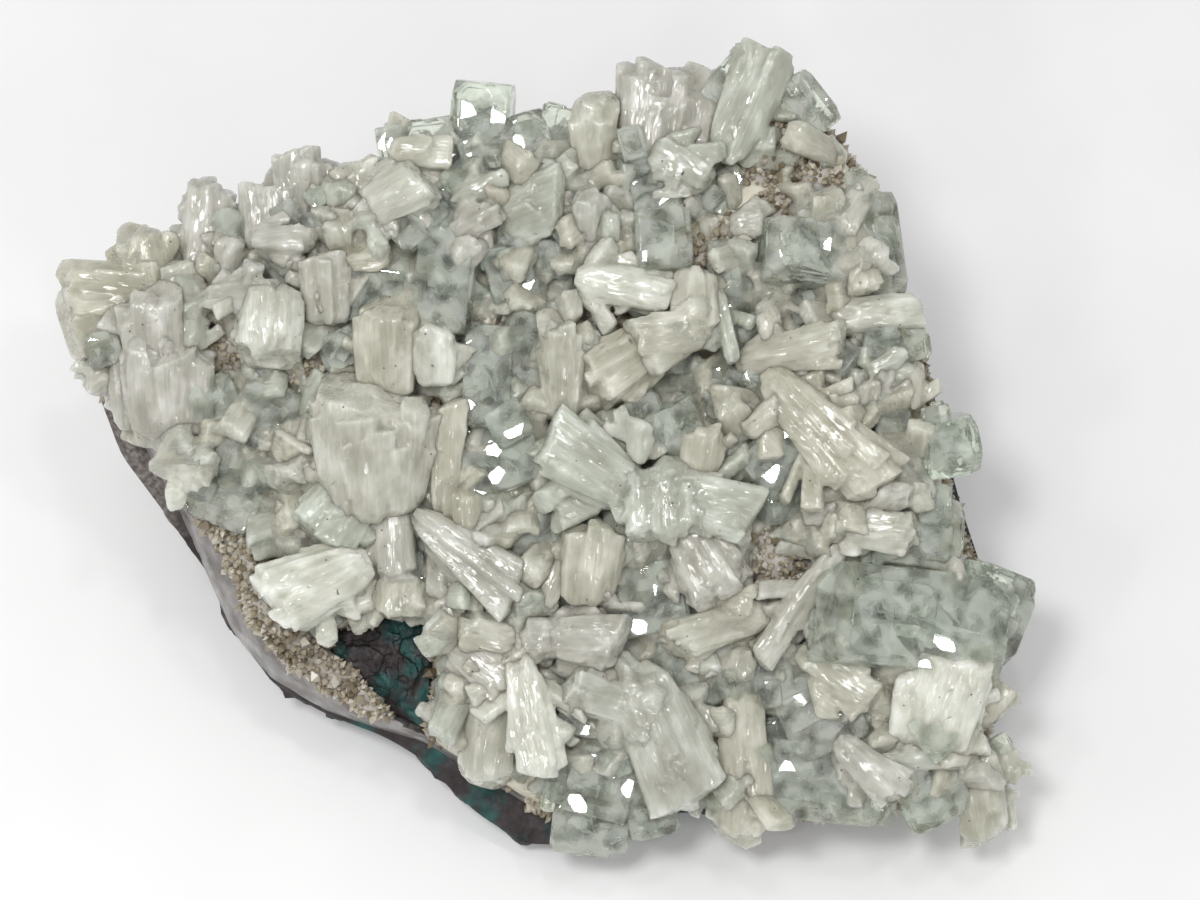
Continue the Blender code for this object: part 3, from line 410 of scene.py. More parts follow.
class Bag:
    """Collects closed shapes, in millimetres on the face, that become one mesh."""

    def __init__(self):
        self.points = []
        self.faces = []
        self.grain = []
        self.tint = []
        self.count = 0

    def add(self, points, faces, grain=None, tint=0.5):
        points = np.asarray(points, float)
        grain = points if grain is None else np.asarray(grain, float)
        self.points.append(points)
        self.faces += [tuple(corner + self.count for corner in face) for face in faces]
        self.grain.append(grain)
        self.tint.append(np.broadcast_to(np.asarray(tint, float), (len(points),)))
        self.count += len(points)

    def make(self, name, material, slot, nodes=(), sharp=None):
        """One object that rides on the root and stands for these nodes."""
        mesh = bpy.data.meshes.new(name)
        mesh.from_pydata(bench(np.vstack(self.points)).tolist(), [], self.faces)
        grain = mesh.attributes.new("grain", "FLOAT_VECTOR", "POINT")
        grain.data.foreach_set("vector", np.vstack(self.grain).astype(np.float32).ravel())
        tint = mesh.attributes.new("tint", "FLOAT", "POINT")
        tint.data.foreach_set("value", np.concatenate(self.tint).astype(np.float32))
        mesh.materials.append(material)
        mesh.update()
        shade(mesh, sharp)
        piece = bpy.data.objects.new(name, mesh)
        bpy.context.scene.collection.objects.link(piece)
        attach(piece, "root")
        if nodes:
            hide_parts(*nodes)
        return piece


def shade(mesh, sharp):
    """Smooth shading with edges kept sharp above an angle in degrees, or flat shading."""
    smooth = sharp is not None
    mesh.polygons.foreach_set("use_smooth", [smooth] * len(mesh.polygons))
    if smooth:
        mesh.set_sharp_from_angle(angle=math.radians(sharp))


def sheaf_frame(sheaf):
    """Base, turning matrix (across, along, out) and length of a sheaf."""
    base = Vector(sheaf.base)
    tip = Vector(sheaf.tip)
    axis = (tip - base).normalized()
    out = Vector((0.0, 0.0, 1.0))
    out = (out - axis * out.dot(axis)).normalized()
    across = axis.cross(out)
    turn = Matrix((across, axis, out)).transposed() @ Matrix.Rotation(math.radians(sheaf.roll), 3, "Y")
    return np.array(base), np.array(turn), (tip - base).length


def prism(rng, length, width, thick, root, crown, bow=(0.0, 0.0)):
    """Points and faces of one flat crystal along y, with an oblique end."""
    half, deep = width / 2, thick / 2
    corner = min(half, deep) * rng.uniform(0.2, 0.5)
    inner, low = half - corner, deep - corner
    section = np.array([(half, low), (inner, deep), (-inner, deep), (-half, low),
                        (-half, -low), (-inner, -deep), (inner, -deep), (half, -low)])
    section[:, 1] *= 1 + rng.uniform(-0.22, 0.22) * section[:, 0] / half
    section[:, 0] *= 1 + rng.uniform(-0.12, 0.12) * section[:, 1] / deep
    rim = length + rng.uniform(-0.45, 0.45) * section[:, 0] + rng.uniform(-0.7, 0.2) * section[:, 1]
    rim = rim - crown * 0.8 * np.abs(section[:, 0]) ** 1.5 / half ** 0.5
    rows = []
    for share, taper in ((0.0, 0.5), (0.14, 0.95), (0.6, 1.0), (1.0, 1.0)):
        wide = (root + (1 - root) * share) * taper
        rows.append(np.stack([section[:, 0] * wide, rim * share, section[:, 1] * taper], axis=1))
    tip = rim.mean() + min(half, deep) * rng.uniform(0.1, 0.5)
    rows.append(np.stack([section[:, 0] * 0.55, np.maximum(rim, rim * 0.4 + tip * 0.6), section[:, 1] * 0.5], axis=1))
    points = np.concatenate(rows)
    along = (points[:, 1] / length) ** 2
    points[:, 0] += bow[0] * along
    points[:, 2] += bow[1] * along
    faces = [tuple(range(7, -1, -1)), tuple(range(32, 40))]
    for row in range(4):
        for index in range(8):
            following = (index + 1) % 8
            low_row = row * 8
            faces.append((low_row + index, low_row + following, low_row + following + 8, low_row + index + 8))
    return points, [face[::-1] for face in faces]


class Bundle:
    """Stilbite crystals that are grown together, and become one surface."""

    def __init__(self):
        self.shapes = []
        self.frames = []

    def add(self, sheaf, rng, plates=None, tint=None, offshoots=None):
        """A core crystal, flat ones that part from it towards the tip, and small ones that lean away."""
        base, turn, length = sheaf_frame(sheaf)
        tint = rng.uniform(0.0, 0.8) if tint is None else tint
        plates = int(5 + sheaf.width * 1.1) if plates is None else plates
        bow = (rng.uniform(-0.06, 0.06) * length, rng.uniform(-0.06, 0.06) * length)
        spread = math.degrees(math.atan2((1 - sheaf.root) * sheaf.width / 2, length)) + 3.0
        core = prism(rng, length * 0.96, sheaf.width * 0.92, sheaf.thick * 0.92, sheaf.root, sheaf.crown, bow)
        self.shapes.append((core[0] @ turn.T + base, core[1]))
        for _ in range(plates):
            share = rng.uniform(-1, 1)
            wide = sheaf.width * rng.uniform(0.2, 0.5)
            deep = sheaf.thick * rng.uniform(0.22, 0.5)
            reach = length * rng.uniform(0.6, 1.0) - sheaf.crown * sheaf.width * share ** 2 * 0.5
            start = length * rng.uniform(0.0, 0.3)
            reach = max(reach - start, length * 0.3)
            x0 = share * (sheaf.width * 1.02 - wide) / 2 * (sheaf.root + (1 - sheaf.root) * start / length)
            if rng.random() < 0.65:
                z0 = sheaf.thick / 2 * (1 - 0.35 * share ** 2) - deep / 2 + rng.uniform(-0.1, 0.5)
            else:
                z0 = rng.uniform(-0.45, 0.2) * sheaf.thick
                x0 *= 1.14
            angles = (rng.uniform(-3.5, 2.5), rng.uniform(-10, 10) + 22 * share, -share * spread + rng.uniform(-3, 3))
            twist = np.array(Euler([math.radians(angle) for angle in angles]).to_matrix())
            points, faces = prism(rng, reach, wide, deep, 0.85, sheaf.crown * 0.8, bow)
            points = points @ twist.T + np.array((x0, start, z0))
            self.shapes.append((points @ turn.T + base, faces))
        offshoots = int(2 + length / 3.5) if offshoots is None else offshoots
        for _ in range(offshoots):
            side = rng.choice((-1, 1))
            wide = rng.uniform(2.0, 2.8 + 0.22 * sheaf.width)
            reach = rng.uniform(2.6, 3.6 + 0.28 * length)
            start = rng.uniform(0.0, 0.55) * length
            angles = (rng.uniform(-12, 16), rng.uniform(-40, 40), -side * rng.uniform(15, 75))
            twist = np.array(Euler([math.radians(angle) for angle in angles]).to_matrix())
            points, faces = prism(rng, reach, wide, wide * rng.uniform(0.5, 0.9), 0.85, rng.uniform(0.0, 0.5))
            place = np.array((side * sheaf.width * rng.uniform(0.12, 0.36), start, rng.uniform(-0.5, 0.12) * sheaf.thick))
            points = points @ twist.T + place
            self.shapes.append((points @ turn.T + base, faces))
        shift = np.array((rng.uniform(0, 90), rng.uniform(0, 90), rng.uniform(0, 90)))
        self.frames.append((base, turn, length, sheaf.width, shift, min(1.0, max(0.0, tint))))

    def make(self, name, material, nodes=(), voxel=0.3, adaptivity=0.3):
        """Fuses the crystals in one surface, which keeps each one's own grain."""
        points, faces = fuse(self.shapes, voxel, adaptivity)
        tree = kdtree.KDTree(len(self.frames) * 27)
        for index, (base, turn, length, width, _, _) in enumerate(self.frames):
            for step in range(9):
                for side in (-0.33, 0.0, 0.33):
                    spot = turn @ np.array((side * width, length * (step + 0.5) / 9, 0.0)) + base
                    tree.insert(spot, index)
        tree.balance()
        owner = np.array([tree.find(point)[1] for point in points])
        grain = np.zeros_like(points)
        tint = np.zeros(len(points))
        for index, (base, turn, _, _, shift, own_tint) in enumerate(self.frames):
            mine = owner == index
            grain[mine] = (points[mine] - base) @ turn + shift
            tint[mine] = own_tint
        bag = Bag()
        bag.add(points, faces, grain, tint)
        return bag.make(name, material, "stilbite", nodes, sharp=180)


def fuse(shapes, voxel, adaptivity):
    """One closed surface round overlapping shapes, as points and faces."""
    count = 0
    points, faces = [], []
    for shape_points, shape_faces in shapes:
        points.append(shape_points)
        faces += [tuple(corner + count for corner in face) for face in shape_faces]
        count += len(shape_points)
    mesh = bpy.data.meshes.new("bundle")
    mesh.from_pydata(np.vstack(points).tolist(), [], faces)
    item = bpy.data.objects.new("bundle", mesh)
    bpy.context.scene.collection.objects.link(item)
    modifier = item.modifiers.new("fuse", "REMESH")
    modifier.mode = "VOXEL"
    modifier.voxel_size = voxel
    modifier.adaptivity = adaptivity
    whole = item.evaluated_get(bpy.context.evaluated_depsgraph_get()).data
    joined = np.empty(len(whole.vertices) * 3)
    whole.vertices.foreach_get("co", joined)
    faces = [tuple(face.vertices) for face in whole.polygons]
    bpy.data.objects.remove(item)
    bpy.data.meshes.remove(mesh)
    return joined.reshape(-1, 3), faces


def block_shape(size, facet, soft=0.24):
    """A cube with cut corners and thinly rounded edges, as points and faces."""
    shape = bmesh.new()
    bmesh.ops.create_cube(shape, size=1.0)
    bmesh.ops.scale(shape, vec=size, verts=shape.verts)
    bmesh.ops.bevel(shape, geom=shape.verts[:], offset=min(size) * facet * 1.2, segments=1, affect="VERTICES")
    edges = [edge for edge in shape.edges if edge.calc_face_angle(0.0) > 0.3]
    bmesh.ops.bevel(shape, geom=edges, offset=soft, segments=1, affect="EDGES", clamp_overlap=True)
    points = np.array([vert.co for vert in shape.verts])
    shape.verts.index_update()
    faces = [tuple(vert.index for vert in face.verts) for face in shape.faces]
    shape.free()
    return points, faces


def join_shapes(shapes):
    """One solid from overlapping ones, as points and faces."""
    if len(shapes) == 1:
        return shapes[0]
    objects = []
    for points, faces in shapes:
        mesh = bpy.data.meshes.new("growth")
        mesh.from_pydata(points.tolist(), [], faces)
        item = bpy.data.objects.new("growth", mesh)
        bpy.context.scene.collection.objects.link(item)
        objects.append(item)
    for item in objects[1:]:
        modifier = objects[0].modifiers.new("join", "BOOLEAN")
        modifier.operation = "UNION"
        modifier.solver = "EXACT"
        modifier.object = item
    depsgraph = bpy.context.evaluated_depsgraph_get()
    whole = objects[0].evaluated_get(depsgraph)
    points = np.array([vert.co[:] for vert in whole.data.vertices])
    faces = [tuple(face.vertices) for face in whole.data.polygons]
    meshes = [item.data for item in objects]
    for item in objects:
        bpy.data.objects.remove(item)
    for mesh in meshes:
        bpy.data.meshes.remove(mesh)
    return (points, faces) if faces else shapes[0]


def add_block(bag, block, rng, flakes, growths=3, flaws=2):
    """A glassy block grown from several nearly parallel ones, with hollow cracks and pale flakes inside."""
    lean_u, lean_v = block.lean
    turn = np.array(Euler((math.radians(lean_u), math.radians(lean_v), math.radians(block.turn))).to_matrix())
    centre = np.array(block.centre, float)
    size = np.array(block.size, float)
    shift = np.array((rng.uniform(0, 90), rng.uniform(0, 90), rng.uniform(0, 90)))
    tint = rng.random()
    shapes = [block_shape(size, block.facet)]
    for _ in range(growths):
        part = size * np.array([rng.uniform(0.4, 0.8) for _ in range(3)])
        axis = rng.randrange(3)
        side = np.array([rng.uniform(-0.5, 0.5) * (whole - piece) for whole, piece in zip(size, part)])
        side[axis] = rng.choice((-1, 1)) * ((size[axis] - part[axis]) / 2 + rng.uniform(0.2, 0.7))
        side[2] = abs(side[2])
        twist = np.array(Euler([math.radians(rng.uniform(-4, 4)) for _ in range(3)]).to_matrix())
        points, faces = block_shape(part, block.facet * 0.8)
        shapes.append((points @ twist.T + side, faces))
    points, faces = join_shapes(shapes)
    bag.add(points @ turn.T + centre, faces, points + shift, tint)
    for _ in range(flaws):
        points, faces = flaw_shape(rng, float(size.min()) * 0.8)
        points = points + np.array([rng.uniform(-0.25, 0.25) * side for side in size])
        bag.add(points @ turn.T + centre, [face[::-1] for face in faces], points + shift, tint)
    for _ in range(int(2 + size[0] * size[1] * size[2] / 90)):
        points, faces = crack_shape(rng, float(size.mean()) * rng.uniform(0.22, 0.42))
        points = points + np.array([rng.uniform(-0.2, 0.2) * side for side in size])
        points = np.clip(points, -size * 0.44, size * 0.44)
        flakes.add(points @ turn.T + centre, faces, points + shift, rng.random())


def crack_shape(rng, reach):
    """A crumpled sheet, thin as a crack."""
    turn = np.array(Euler([rng.uniform(0, 3.1) for _ in range(3)]).to_matrix())
    rings, around = 3, 7
    slender = rng.uniform(0.3, 0.9)
    top = [(0.0, 0.0, 0.0)]
    for ring in range(1, rings):
        for index in range(around):
            angle = 2 * math.pi * index / around + ring * 0.3
            radius = reach * ring / (rings - 1) * rng.uniform(0.75, 1.2)
            height = reach * 0.16 * rng.uniform(-1, 1)
            top.append((radius * math.cos(angle), slender * radius * math.sin(angle), height))
    top = np.array(top)
    points = np.concatenate([top + (0, 0, 0.02), top - (0, 0, 0.02)]) @ turn.T
    count = len(top)
    faces = []
    for index in range(around):
        following = (index + 1) % around
        faces.append((0, 1 + index, 1 + following))
        for ring in range(rings - 2):
            low = 1 + ring * around
            faces.append((low + index, low + around + index, low + around + following))
            faces.append((low + index, low + around + following, low + following))
    faces += [tuple(corner + count for corner in face[::-1]) for face in faces]
    edge = 1 + (rings - 2) * around
    for index in range(around):
        following = (index + 1) % around
        faces.append((edge + index, edge + index + count, edge + following + count, edge + following))
    return points, faces


def flaw_shape(rng, size, slender=1.0):
    """A thin curved crack inside a crystal."""
    reach = size * rng.uniform(0.18, 0.32)
    turn = np.array(Euler([rng.uniform(0, 3.1) for _ in range(3)]).to_matrix())
    count = 9
    rim = []
    for index in range(count):
        angle = 2 * math.pi * index / count
        radius = reach * rng.uniform(0.6, 1.1)
        rim.append((radius * math.cos(angle), slender * radius * math.sin(angle), reach * 0.1 * rng.uniform(-1, 1)))
    points = np.array(rim + [(0, 0, 0.03 + reach * 0.06), (0, 0, reach * 0.06 - 0.03)]) @ turn.T
    faces = []
    for index in range(count):
        following = (index + 1) % count
        faces.append((index, following, count))
        faces.append((following, index, count + 1))
    return points, faces


class Radii:
    """An outline's radius in any direction, sampled finely and a little rounded."""

    def __init__(self, outline, samples=720):
        raw = np.array([ray_radius(outline, 2 * math.pi * index / samples) for index in range(samples)])
        window = np.hanning(13)
        window /= window.sum()
        padded = np.concatenate([raw[-6:], raw, raw[:6]])
        self.values = np.convolve(padded, window, mode="valid")
        self.samples = samples

    def at(self, angle):
        place = angle / (2 * math.pi) * self.samples
        low = int(place) % self.samples
        share = place - int(place)
        return self.values[low] * (1 - share) + self.values[(low + 1) % self.samples] * share


def polar_mesh(rings, first, last):
    """Points and faces of a closed solid from a pole through equal rings to the other pole."""
    around = len(rings[0])
    points = [first] + [point for ring in rings for point in ring] + [last]
    faces = []
    for index in range(around):
        following = (index + 1) % around
        faces.append((0, 1 + following, 1 + index))
        end = 1 + (len(rings) - 1) * around
        faces.append((len(points) - 1, end + index, end + following))
        for ring in range(len(rings) - 1):
            low = 1 + ring * around
            faces.append((low + index, low + following, low + following + around, low + index + around))
    return np.array(points, float), faces


def pocket_share(u, v):
    """How near a point is to the middle of a pocket, from 0 to 1."""
    depth = 0.0
    for pu, pv, radius in POCKETS:
        share = ((u - pu) ** 2 + (v - pv) ** 2) / radius ** 2
        if share < 4:
            depth = max(depth, math.exp(-share))
    return depth


def crust_point(angle, radius, w):
    """A point of the crust's outside, roughened and pulled down inside the bare patch."""
    u = radius * math.cos(angle)
    v = radius * math.sin(angle)
    grainy = 0.35 * rough(u, v, w, 2.2) + 0.5 * rough(u, v, w, 7.0, 2)
    if -40 < u < -13 and -51 < v < -24:
        inside = inside_patch(u, v) + 0.8 * rough(u, v, 3.0, 2.0, 3)
        if inside > -0.6:
            w -= min(1.0, (inside + 0.6) / 1.2) * 6.0
    open_face = crystal_share(u, v, w)
    w += open_face * (1.4 + 2.4 * facets(u, v, 0.0, 3.4) + 0.9 * facets(u, v, 5.0, 1.5))
    rise = POCKET_RISE if w > -4.0 else 0.0
    return (u, v, w + grainy + rise * pocket_share(u, v))


def crystal_share(u, v, w):
    """1 where tiny crystals stand close together, falling to 0 in the pockets and on the flank."""
    nearest = min(math.hypot(u - pu, v - pv) / radius for pu, pv, radius in POCKETS)
    nearest = min(nearest, 1.0 - inside_patch(u, v) / 3.0)
    return min(1.0, max(0.0, (nearest - 0.95) / 0.3)) * min(1.0, max(0.0, (w + 4.5) / 2.0))


def chalcedony_share(u, v, w):
    """1 on the smooth outer band of the flank at the lower left, 0 elsewhere."""
    angle = math.atan2(v, u) % (2 * math.pi)
    if not FLANK_START - 0.25 < angle < FLANK_END + 0.45 or w > -3.0:
        return 0.0
    gap = ray_radius(CRUST_EDGE, angle) - math.hypot(u, v)
    wander = 1.6 * rough(u, v, 0.0, 8.0, 3)
    return min(1.0, max(0.0, (4.9 + wander - gap) / 0.6))


def crust_surface(around=380, steps=64, flank_steps=16):
    """Rings of the crust's outside, from its outer edge to the middle of the face."""
    rim, edge = Radii(RIM), Radii(CRUST_EDGE)
    rings = []
    for level in range(flank_steps):
        share = 1 - level / flank_steps
        ring = []
        for index in range(around):
            angle = 2 * math.pi * index / around
            inner, outer = rim.at(angle), edge.at(angle)
            depth = 1.5 + (crust_edge_depth(angle) - 1.5) * share ** 1.35
            radius = inner + (outer - inner) * share ** 0.8
            u, v = radius * math.cos(angle), radius * math.sin(angle)
            swell = 0.7 * lumps(u, v, -depth, 6.0) * math.sin(math.pi * share)
            ring.append(crust_point(angle, radius + swell, relief(u, v) * (1 - share) - depth))
        rings.append(ring)
    for level in range(steps):
        share = 1 - level / steps
        ring = []
        for index in range(around):
            angle = 2 * math.pi * index / around
            radius = rim.at(angle) * share
            u, v = radius * math.cos(angle), radius * math.sin(angle)
            ring.append(crust_point(angle, radius, relief(u, v) - 1.5 * share ** 4))
        rings.append(ring)
    return rings


def make_crust(material):
    """The quartz crust in fine relief."""
    rings = crust_surface()
    around = len(rings[0])
    rim, edge = Radii(RIM), Radii(CRUST_EDGE)
    under = []
    for share in (0.3, 0.6, 0.85, 0.95):
        ring = []
        for index in range(around):
            angle = 2 * math.pi * index / around
            radius = rim.at(angle) * share
            u, v = radius * math.cos(angle), radius * math.sin(angle)
            ring.append((u, v, relief(u, v) - 1.5 * share ** 4 - CRUST_THICKNESS - 2.5))
        under.append(ring)
    lip = []
    for index in range(around):
        angle = 2 * math.pi * index / around
        radius = edge.at(angle) - 1.2
        depth = crust_edge_depth(angle) + 3.2
        lip.append((radius * math.cos(angle), radius * math.sin(angle), -depth))
    bag = Bag()
    points, faces = polar_mesh(under + [lip] + rings, (0, 0, -CRUST_THICKNESS - 2.5), (0, 0, relief(0, 0)))
    # Low tint where few tiny crystals cover the crust: the material darkens it there, iron stain and painted shade
    # between the druse grains together.
    share = [2.0 if chalcedony_share(*point) > 0.5 else crystal_share(*point) for point in points]
    bag.add(points, faces, tint=share)
    bag.make("quartz_crust_layer", material, "quartz", ["quartz_crust"], sharp=40)
    return points, faces


def wall_point(edge_point):
    """Where the wall below an edge point meets the bench."""
    point = FACE_TURN @ np.array(edge_point) + FACE_CENTRE
    share = min(1.0, max(0.0, (TUCK_START - edge_point[1]) / TUCK_RANGE))
    tuck = point[2] * math.tan(FACE_SLOPE) * 1.1 * share
    foot = FACE_CENTRE[:2] + (point[:2] - FACE_CENTRE[:2]) * BASE_SHRINK
    return to_face((foot[0], foot[1] + tuck, 0.0))


def make_basalt(material):
    """The basalt with its broken walls, and the bare patch that shows through the crust."""
    around, steps = 360, 44
    edge, rock = Radii(CRUST_EDGE), Radii(ROCK_EDGE)
    top = []
    for index in range(around):
        angle = 2 * math.pi * index / around
        radius = rock.at(angle)
        depth = crust_edge_depth(angle) + ROCK_RIM_DROP
        u, v = radius * math.cos(angle), radius * math.sin(angle)
        radius += 0.8 * lumps(u, v, -depth)
        top.append(np.array((radius * math.cos(angle), radius * math.sin(angle), -depth)))
    base = [wall_point(point) for point in top]
    rings = [base]
    for level in range(1, steps):
        step = 1 - level / steps
        fade = min(1.0, level / 5, (steps - level) / 4)
        ring = []
        for start, end in zip(top, base):
            point = start * (1 - step) + end * step
            reach = math.hypot(point[0], point[1])
            bulge = math.sin(math.pi * step) * WALL_LUMP * lumps(*point)
            ledge = fade * (1.1 * rough(*point, 9.0, 3) + 0.45 * rough(*point, 2.6, 3))
            facet = fade * 2.0 * facets(*point, 7.0)
            ring.append(point * (1 + (bulge + ledge + facet) / reach))
        rings.append(ring)
    rings.append(top)
    for share in (0.25, 0.6):
        ring = []
        for index, point in enumerate(top):
            angle = 2 * math.pi * index / around
            radius = edge.at(angle) - 0.6
            inner = np.array((radius * math.cos(angle), radius * math.sin(angle), -crust_edge_depth(angle) + 0.2))
            spot = point * (1 - share) + inner * share
            ring.append(spot + np.array((0, 0, 0.5 * rough(*spot, 3.0, 3))))
        rings.append(ring)
    for share in (0.9, 0.5):
        ring = []
        for index in range(around):
            angle = 2 * math.pi * index / around
            radius = edge.at(angle) * share * 0.95
            ring.append((radius * math.cos(angle), radius * math.sin(angle), -CRUST_THICKNESS - 6.0))
        rings.append(ring)
    bag = Bag()
    middle = to_face((*FACE_CENTRE[:2], 0.0))
    points, faces = polar_mesh(rings, middle, (0, 0, -CRUST_THICKNESS - 6.0))
    speckled = [min(1.0, max(0.0, (4.0 * rough(*point, 6.0) - 60.0 - point[0]) / 4.0)) for point in points]
    bag.add(points, faces, tint=speckled)
    points, faces = patch_shape()
    bag.add(points, faces, tint=0.0)
    bag.make("basalt_rock", material, "basalt", ["basalt_matrix"], sharp=50)


def patch_shape(around=150, steps=44):
    """The bare basalt in the crust's window, a rough sheet with a closed underside."""
    middle = PATCH_MIDDLE
    outline = [(u - middle[0], v - middle[1]) for u, v in PATCH]
    radii = [ray_radius(outline, 2 * math.pi * index / around) for index in range(around)]
    rings = []
    for level in range(steps):
        share = 1.12 * (1 - level / steps)
        ring = []
        for index, radius in enumerate(radii):
            angle = 2 * math.pi * index / around
            u = middle[0] + radius * share * math.cos(angle)
            v = middle[1] + radius * share * math.sin(angle)
            height = relief(u, v) - flank_drop(u, v) + PATCH_LIFT - 5.0 * max(0.0, share - 0.92) / 0.2
            height += 2.0 * facets(u, v, 0.0, 4.2) + 0.7 * facets(u, v, 3.0, 1.6)
            height += 0.25 * rough(u, v, 2.0, 1.2, 3)
            ring.append((u, v, height))
        rings.append(ring)
    rings = [[(u, v, -13.0) for u, v, _ in rings[0]]] + rings
    top = sum(point[2] for point in rings[-1]) / around
    return polar_mesh(rings, (*middle, -13.0), (*middle, top))


def footprints():
    """Centres, half sizes and directions of every crystal's outline on the face."""
    rows = []
    for item in [item for _, items in CRYSTALS for item in items] + SMALL_STILBITE + SMALL_APOPHYLLITE:
        if isinstance(item, Sheaf):
            start, end = np.array(item.base[:2]), np.array(item.tip[:2])
            reach = end - start
            half = (item.width / 2 * 0.9, np.linalg.norm(reach) / 2)
            angle = math.atan2(reach[1], reach[0]) - math.pi / 2
            rows.append((*((start + end) / 2), half[0], half[1], angle))
        else:
            rows.append((*item.centre[:2], item.size[0] / 2, item.size[1] / 2, math.radians(item.turn)))
    return np.array(rows)


def covered(points, rows, margin):
    """True for each point that lies under a crystal, by more than the margin inside its outline."""
    hidden = np.zeros(len(points), bool)
    for u, v, half_u, half_v, angle in rows:
        du, dv = points[:, 0] - u, points[:, 1] - v
        across = np.abs(du * math.cos(angle) + dv * math.sin(angle))
        along = np.abs(-du * math.sin(angle) + dv * math.cos(angle))
        hidden |= (across < half_u - margin) & (along < half_v - margin)
    return hidden


def surface_samples(points, faces, spacing, rng):
    """Random places on a mesh, with their normals, about one for each square of the spacing."""
    quads = np.array([face for face in faces if len(face) == 4])
    a, b, c, d = (points[quads[:, corner]] for corner in range(4))
    normal = np.cross(c - a, d - b)
    area = np.linalg.norm(normal, axis=1) / 2
    normal /= np.maximum(area, 1e-9)[:, None] * 2
    wanted = rng.random(len(quads)) * spacing ** 2 < area
    repeats = np.maximum(1, np.round(area / spacing ** 2)).astype(int) * wanted
    index = np.repeat(np.arange(len(quads)), repeats)
    s, t = rng.random((2, len(index)))[:, :, None]
    spots = (a[index] * (1 - s) + b[index] * s) * (1 - t) + (d[index] * (1 - s) + c[index] * s) * t
    return spots, normal[index]


def add_grains(bag, spots, normals, sizes, rng, sides=5):
    """Tiny pointed crystals, one for each spot, joined in one mesh."""
    count = len(spots)
    lean = normals + rng.normal(0, 0.35, (count, 3))
    lean /= np.linalg.norm(lean, axis=1)[:, None]
    helper = np.where(np.abs(lean[:, 2:]) < 0.9, np.array([[0, 0, 1.0]]), np.array([[1.0, 0, 0]]))
    first = np.cross(lean, helper)
    first /= np.linalg.norm(first, axis=1)[:, None]
    second = np.cross(lean, first)
    turns = rng.random(count) * 6.28
    heights = sizes * rng.uniform(0.8, 1.6, count)
    layers = [spots - lean * sizes[:, None] * 0.4]
    for side in range(sides):
        angle = turns + 2 * math.pi * side / sides
        wide = sizes * 0.5 * rng.uniform(0.8, 1.15, count)
        arm = first * (np.cos(angle) * wide)[:, None] + second * (np.sin(angle) * wide)[:, None]
        layers.append(spots + arm + lean * (heights * 0.45)[:, None])
    layers.append(spots + lean * heights[:, None])
    points = np.stack(layers, axis=1).reshape(-1, 3)
    step = sides + 2
    pattern = []
    for side in range(sides):
        following = (side + 1) % sides
        pattern.append((0, 1 + following, 1 + side))
        pattern.append((sides + 1, 1 + side, 1 + following))
    faces = (np.array(pattern)[None] + (np.arange(count) * step)[:, None, None]).reshape(-1, 3)
    bag.add(points, faces.tolist(), tint=np.repeat(rng.random(count), step))


def make_druse(points, faces, material):
    """Quartz grains over the crust wherever no large crystal covers it."""
    rng = np.random.default_rng(SEED)
    spots, normals = surface_samples(points, faces, 0.86, rng)
    rows = footprints()
    hidden = covered(spots, rows, 1.2) & (spots[:, 2] > -4.5)
    keep = (normals[:, 2] > -0.75) & ~hidden
    patch = np.array([inside_patch(u, v) > -0.2 for u, v, _ in spots])
    bare = np.array([crystal_share(*spot) < 0.85 for spot in spots])
    smooth = np.array([chalcedony_share(*spot) > 0.5 for spot in spots])
    keep &= bare & ~patch & ~smooth & (spots[:, 2] > -CRUST_THICKNESS - 10.5)
    spots, normals = spots[keep], normals[keep]
    sizes = rng.uniform(0.7, 1.4, len(spots))
    big = rng.random(len(spots)) < 0.06
    sizes[big] *= 1.7
    bag = Bag()
    add_grains(bag, spots, normals, sizes, rng)
    bag.make("quartz_druse_grains", material, "quartz")


def make_fillers(stilbite, apophyllite, flakes):
    """Crystals of a few millimetres that fill the seams between the large ones."""
    rng = random.Random(SEED + 5)
    rows = footprints()
    bundles = [Bundle(), Bundle()]
    apophyllite_bag = Bag()
    step = 3.0
    for row in range(-24, 25):
        for column in range(-29, 29):
            u = (column + rng.uniform(-0.5, 0.5)) * step
            v = (row + rng.uniform(-0.5, 0.5)) * step
            angle = math.atan2(v, u) % (2 * math.pi)
            size = rng.uniform(4.0, 8.5)
            lean = rng.uniform(0, 6.28)
            glassy = rng.random() < 0.26 + 0.5 * noise.noise(Vector((u, v, 9.0)) / 14.0)
            if math.hypot(u, v) > ray_radius(RIM, angle) - 1.5 or inside_patch(u, v) > -2.0:
                continue
            if any((u - pu) ** 2 + (v - pv) ** 2 < (radius * 1.1) ** 2 for pu, pv, radius in POCKETS):
                continue
            if covered(np.array([(u, v, 0.0)]), rows, 1.7)[0]:
                continue
            height = relief(u, v) - 0.3
            if glassy:
                angles = (rng.uniform(-35, 35), rng.uniform(-35, 35))
                sides = [size * rng.uniform(0.5, 0.95) for _ in range(3)]
                item = Block((u, v, height + size * 0.4), sides, rng.uniform(0, 90), angles, 0.2)
                add_block(apophyllite_bag, item, rng, flakes, growths=0, flaws=0)
            else:
                rise = rng.uniform(0.1, 0.8)
                run = size * 1.3
                foot = (u - math.cos(lean) * run * 0.5, v - math.sin(lean) * run * 0.5, height - 0.5)
                tip = (u + math.cos(lean) * run * 0.5, v + math.sin(lean) * run * 0.5, height + 1.5 + run * rise)
                item = Sheaf(foot, tip, size * 0.7, size * 0.42, 0.8, rng.uniform(0.0, 0.4), rng.uniform(-40, 40))
                bundles[u > 0].add(item, rng, plates=4, offshoots=1)
    bundles[0].make("stilbite_seam_crystals_left", stilbite, voxel=0.5, adaptivity=0.5)
    bundles[1].make("stilbite_seam_crystals_right", stilbite, voxel=0.5, adaptivity=0.5)
    apophyllite_bag.make("apophyllite_seam_crystals", apophyllite, "apophyllite", sharp=12)


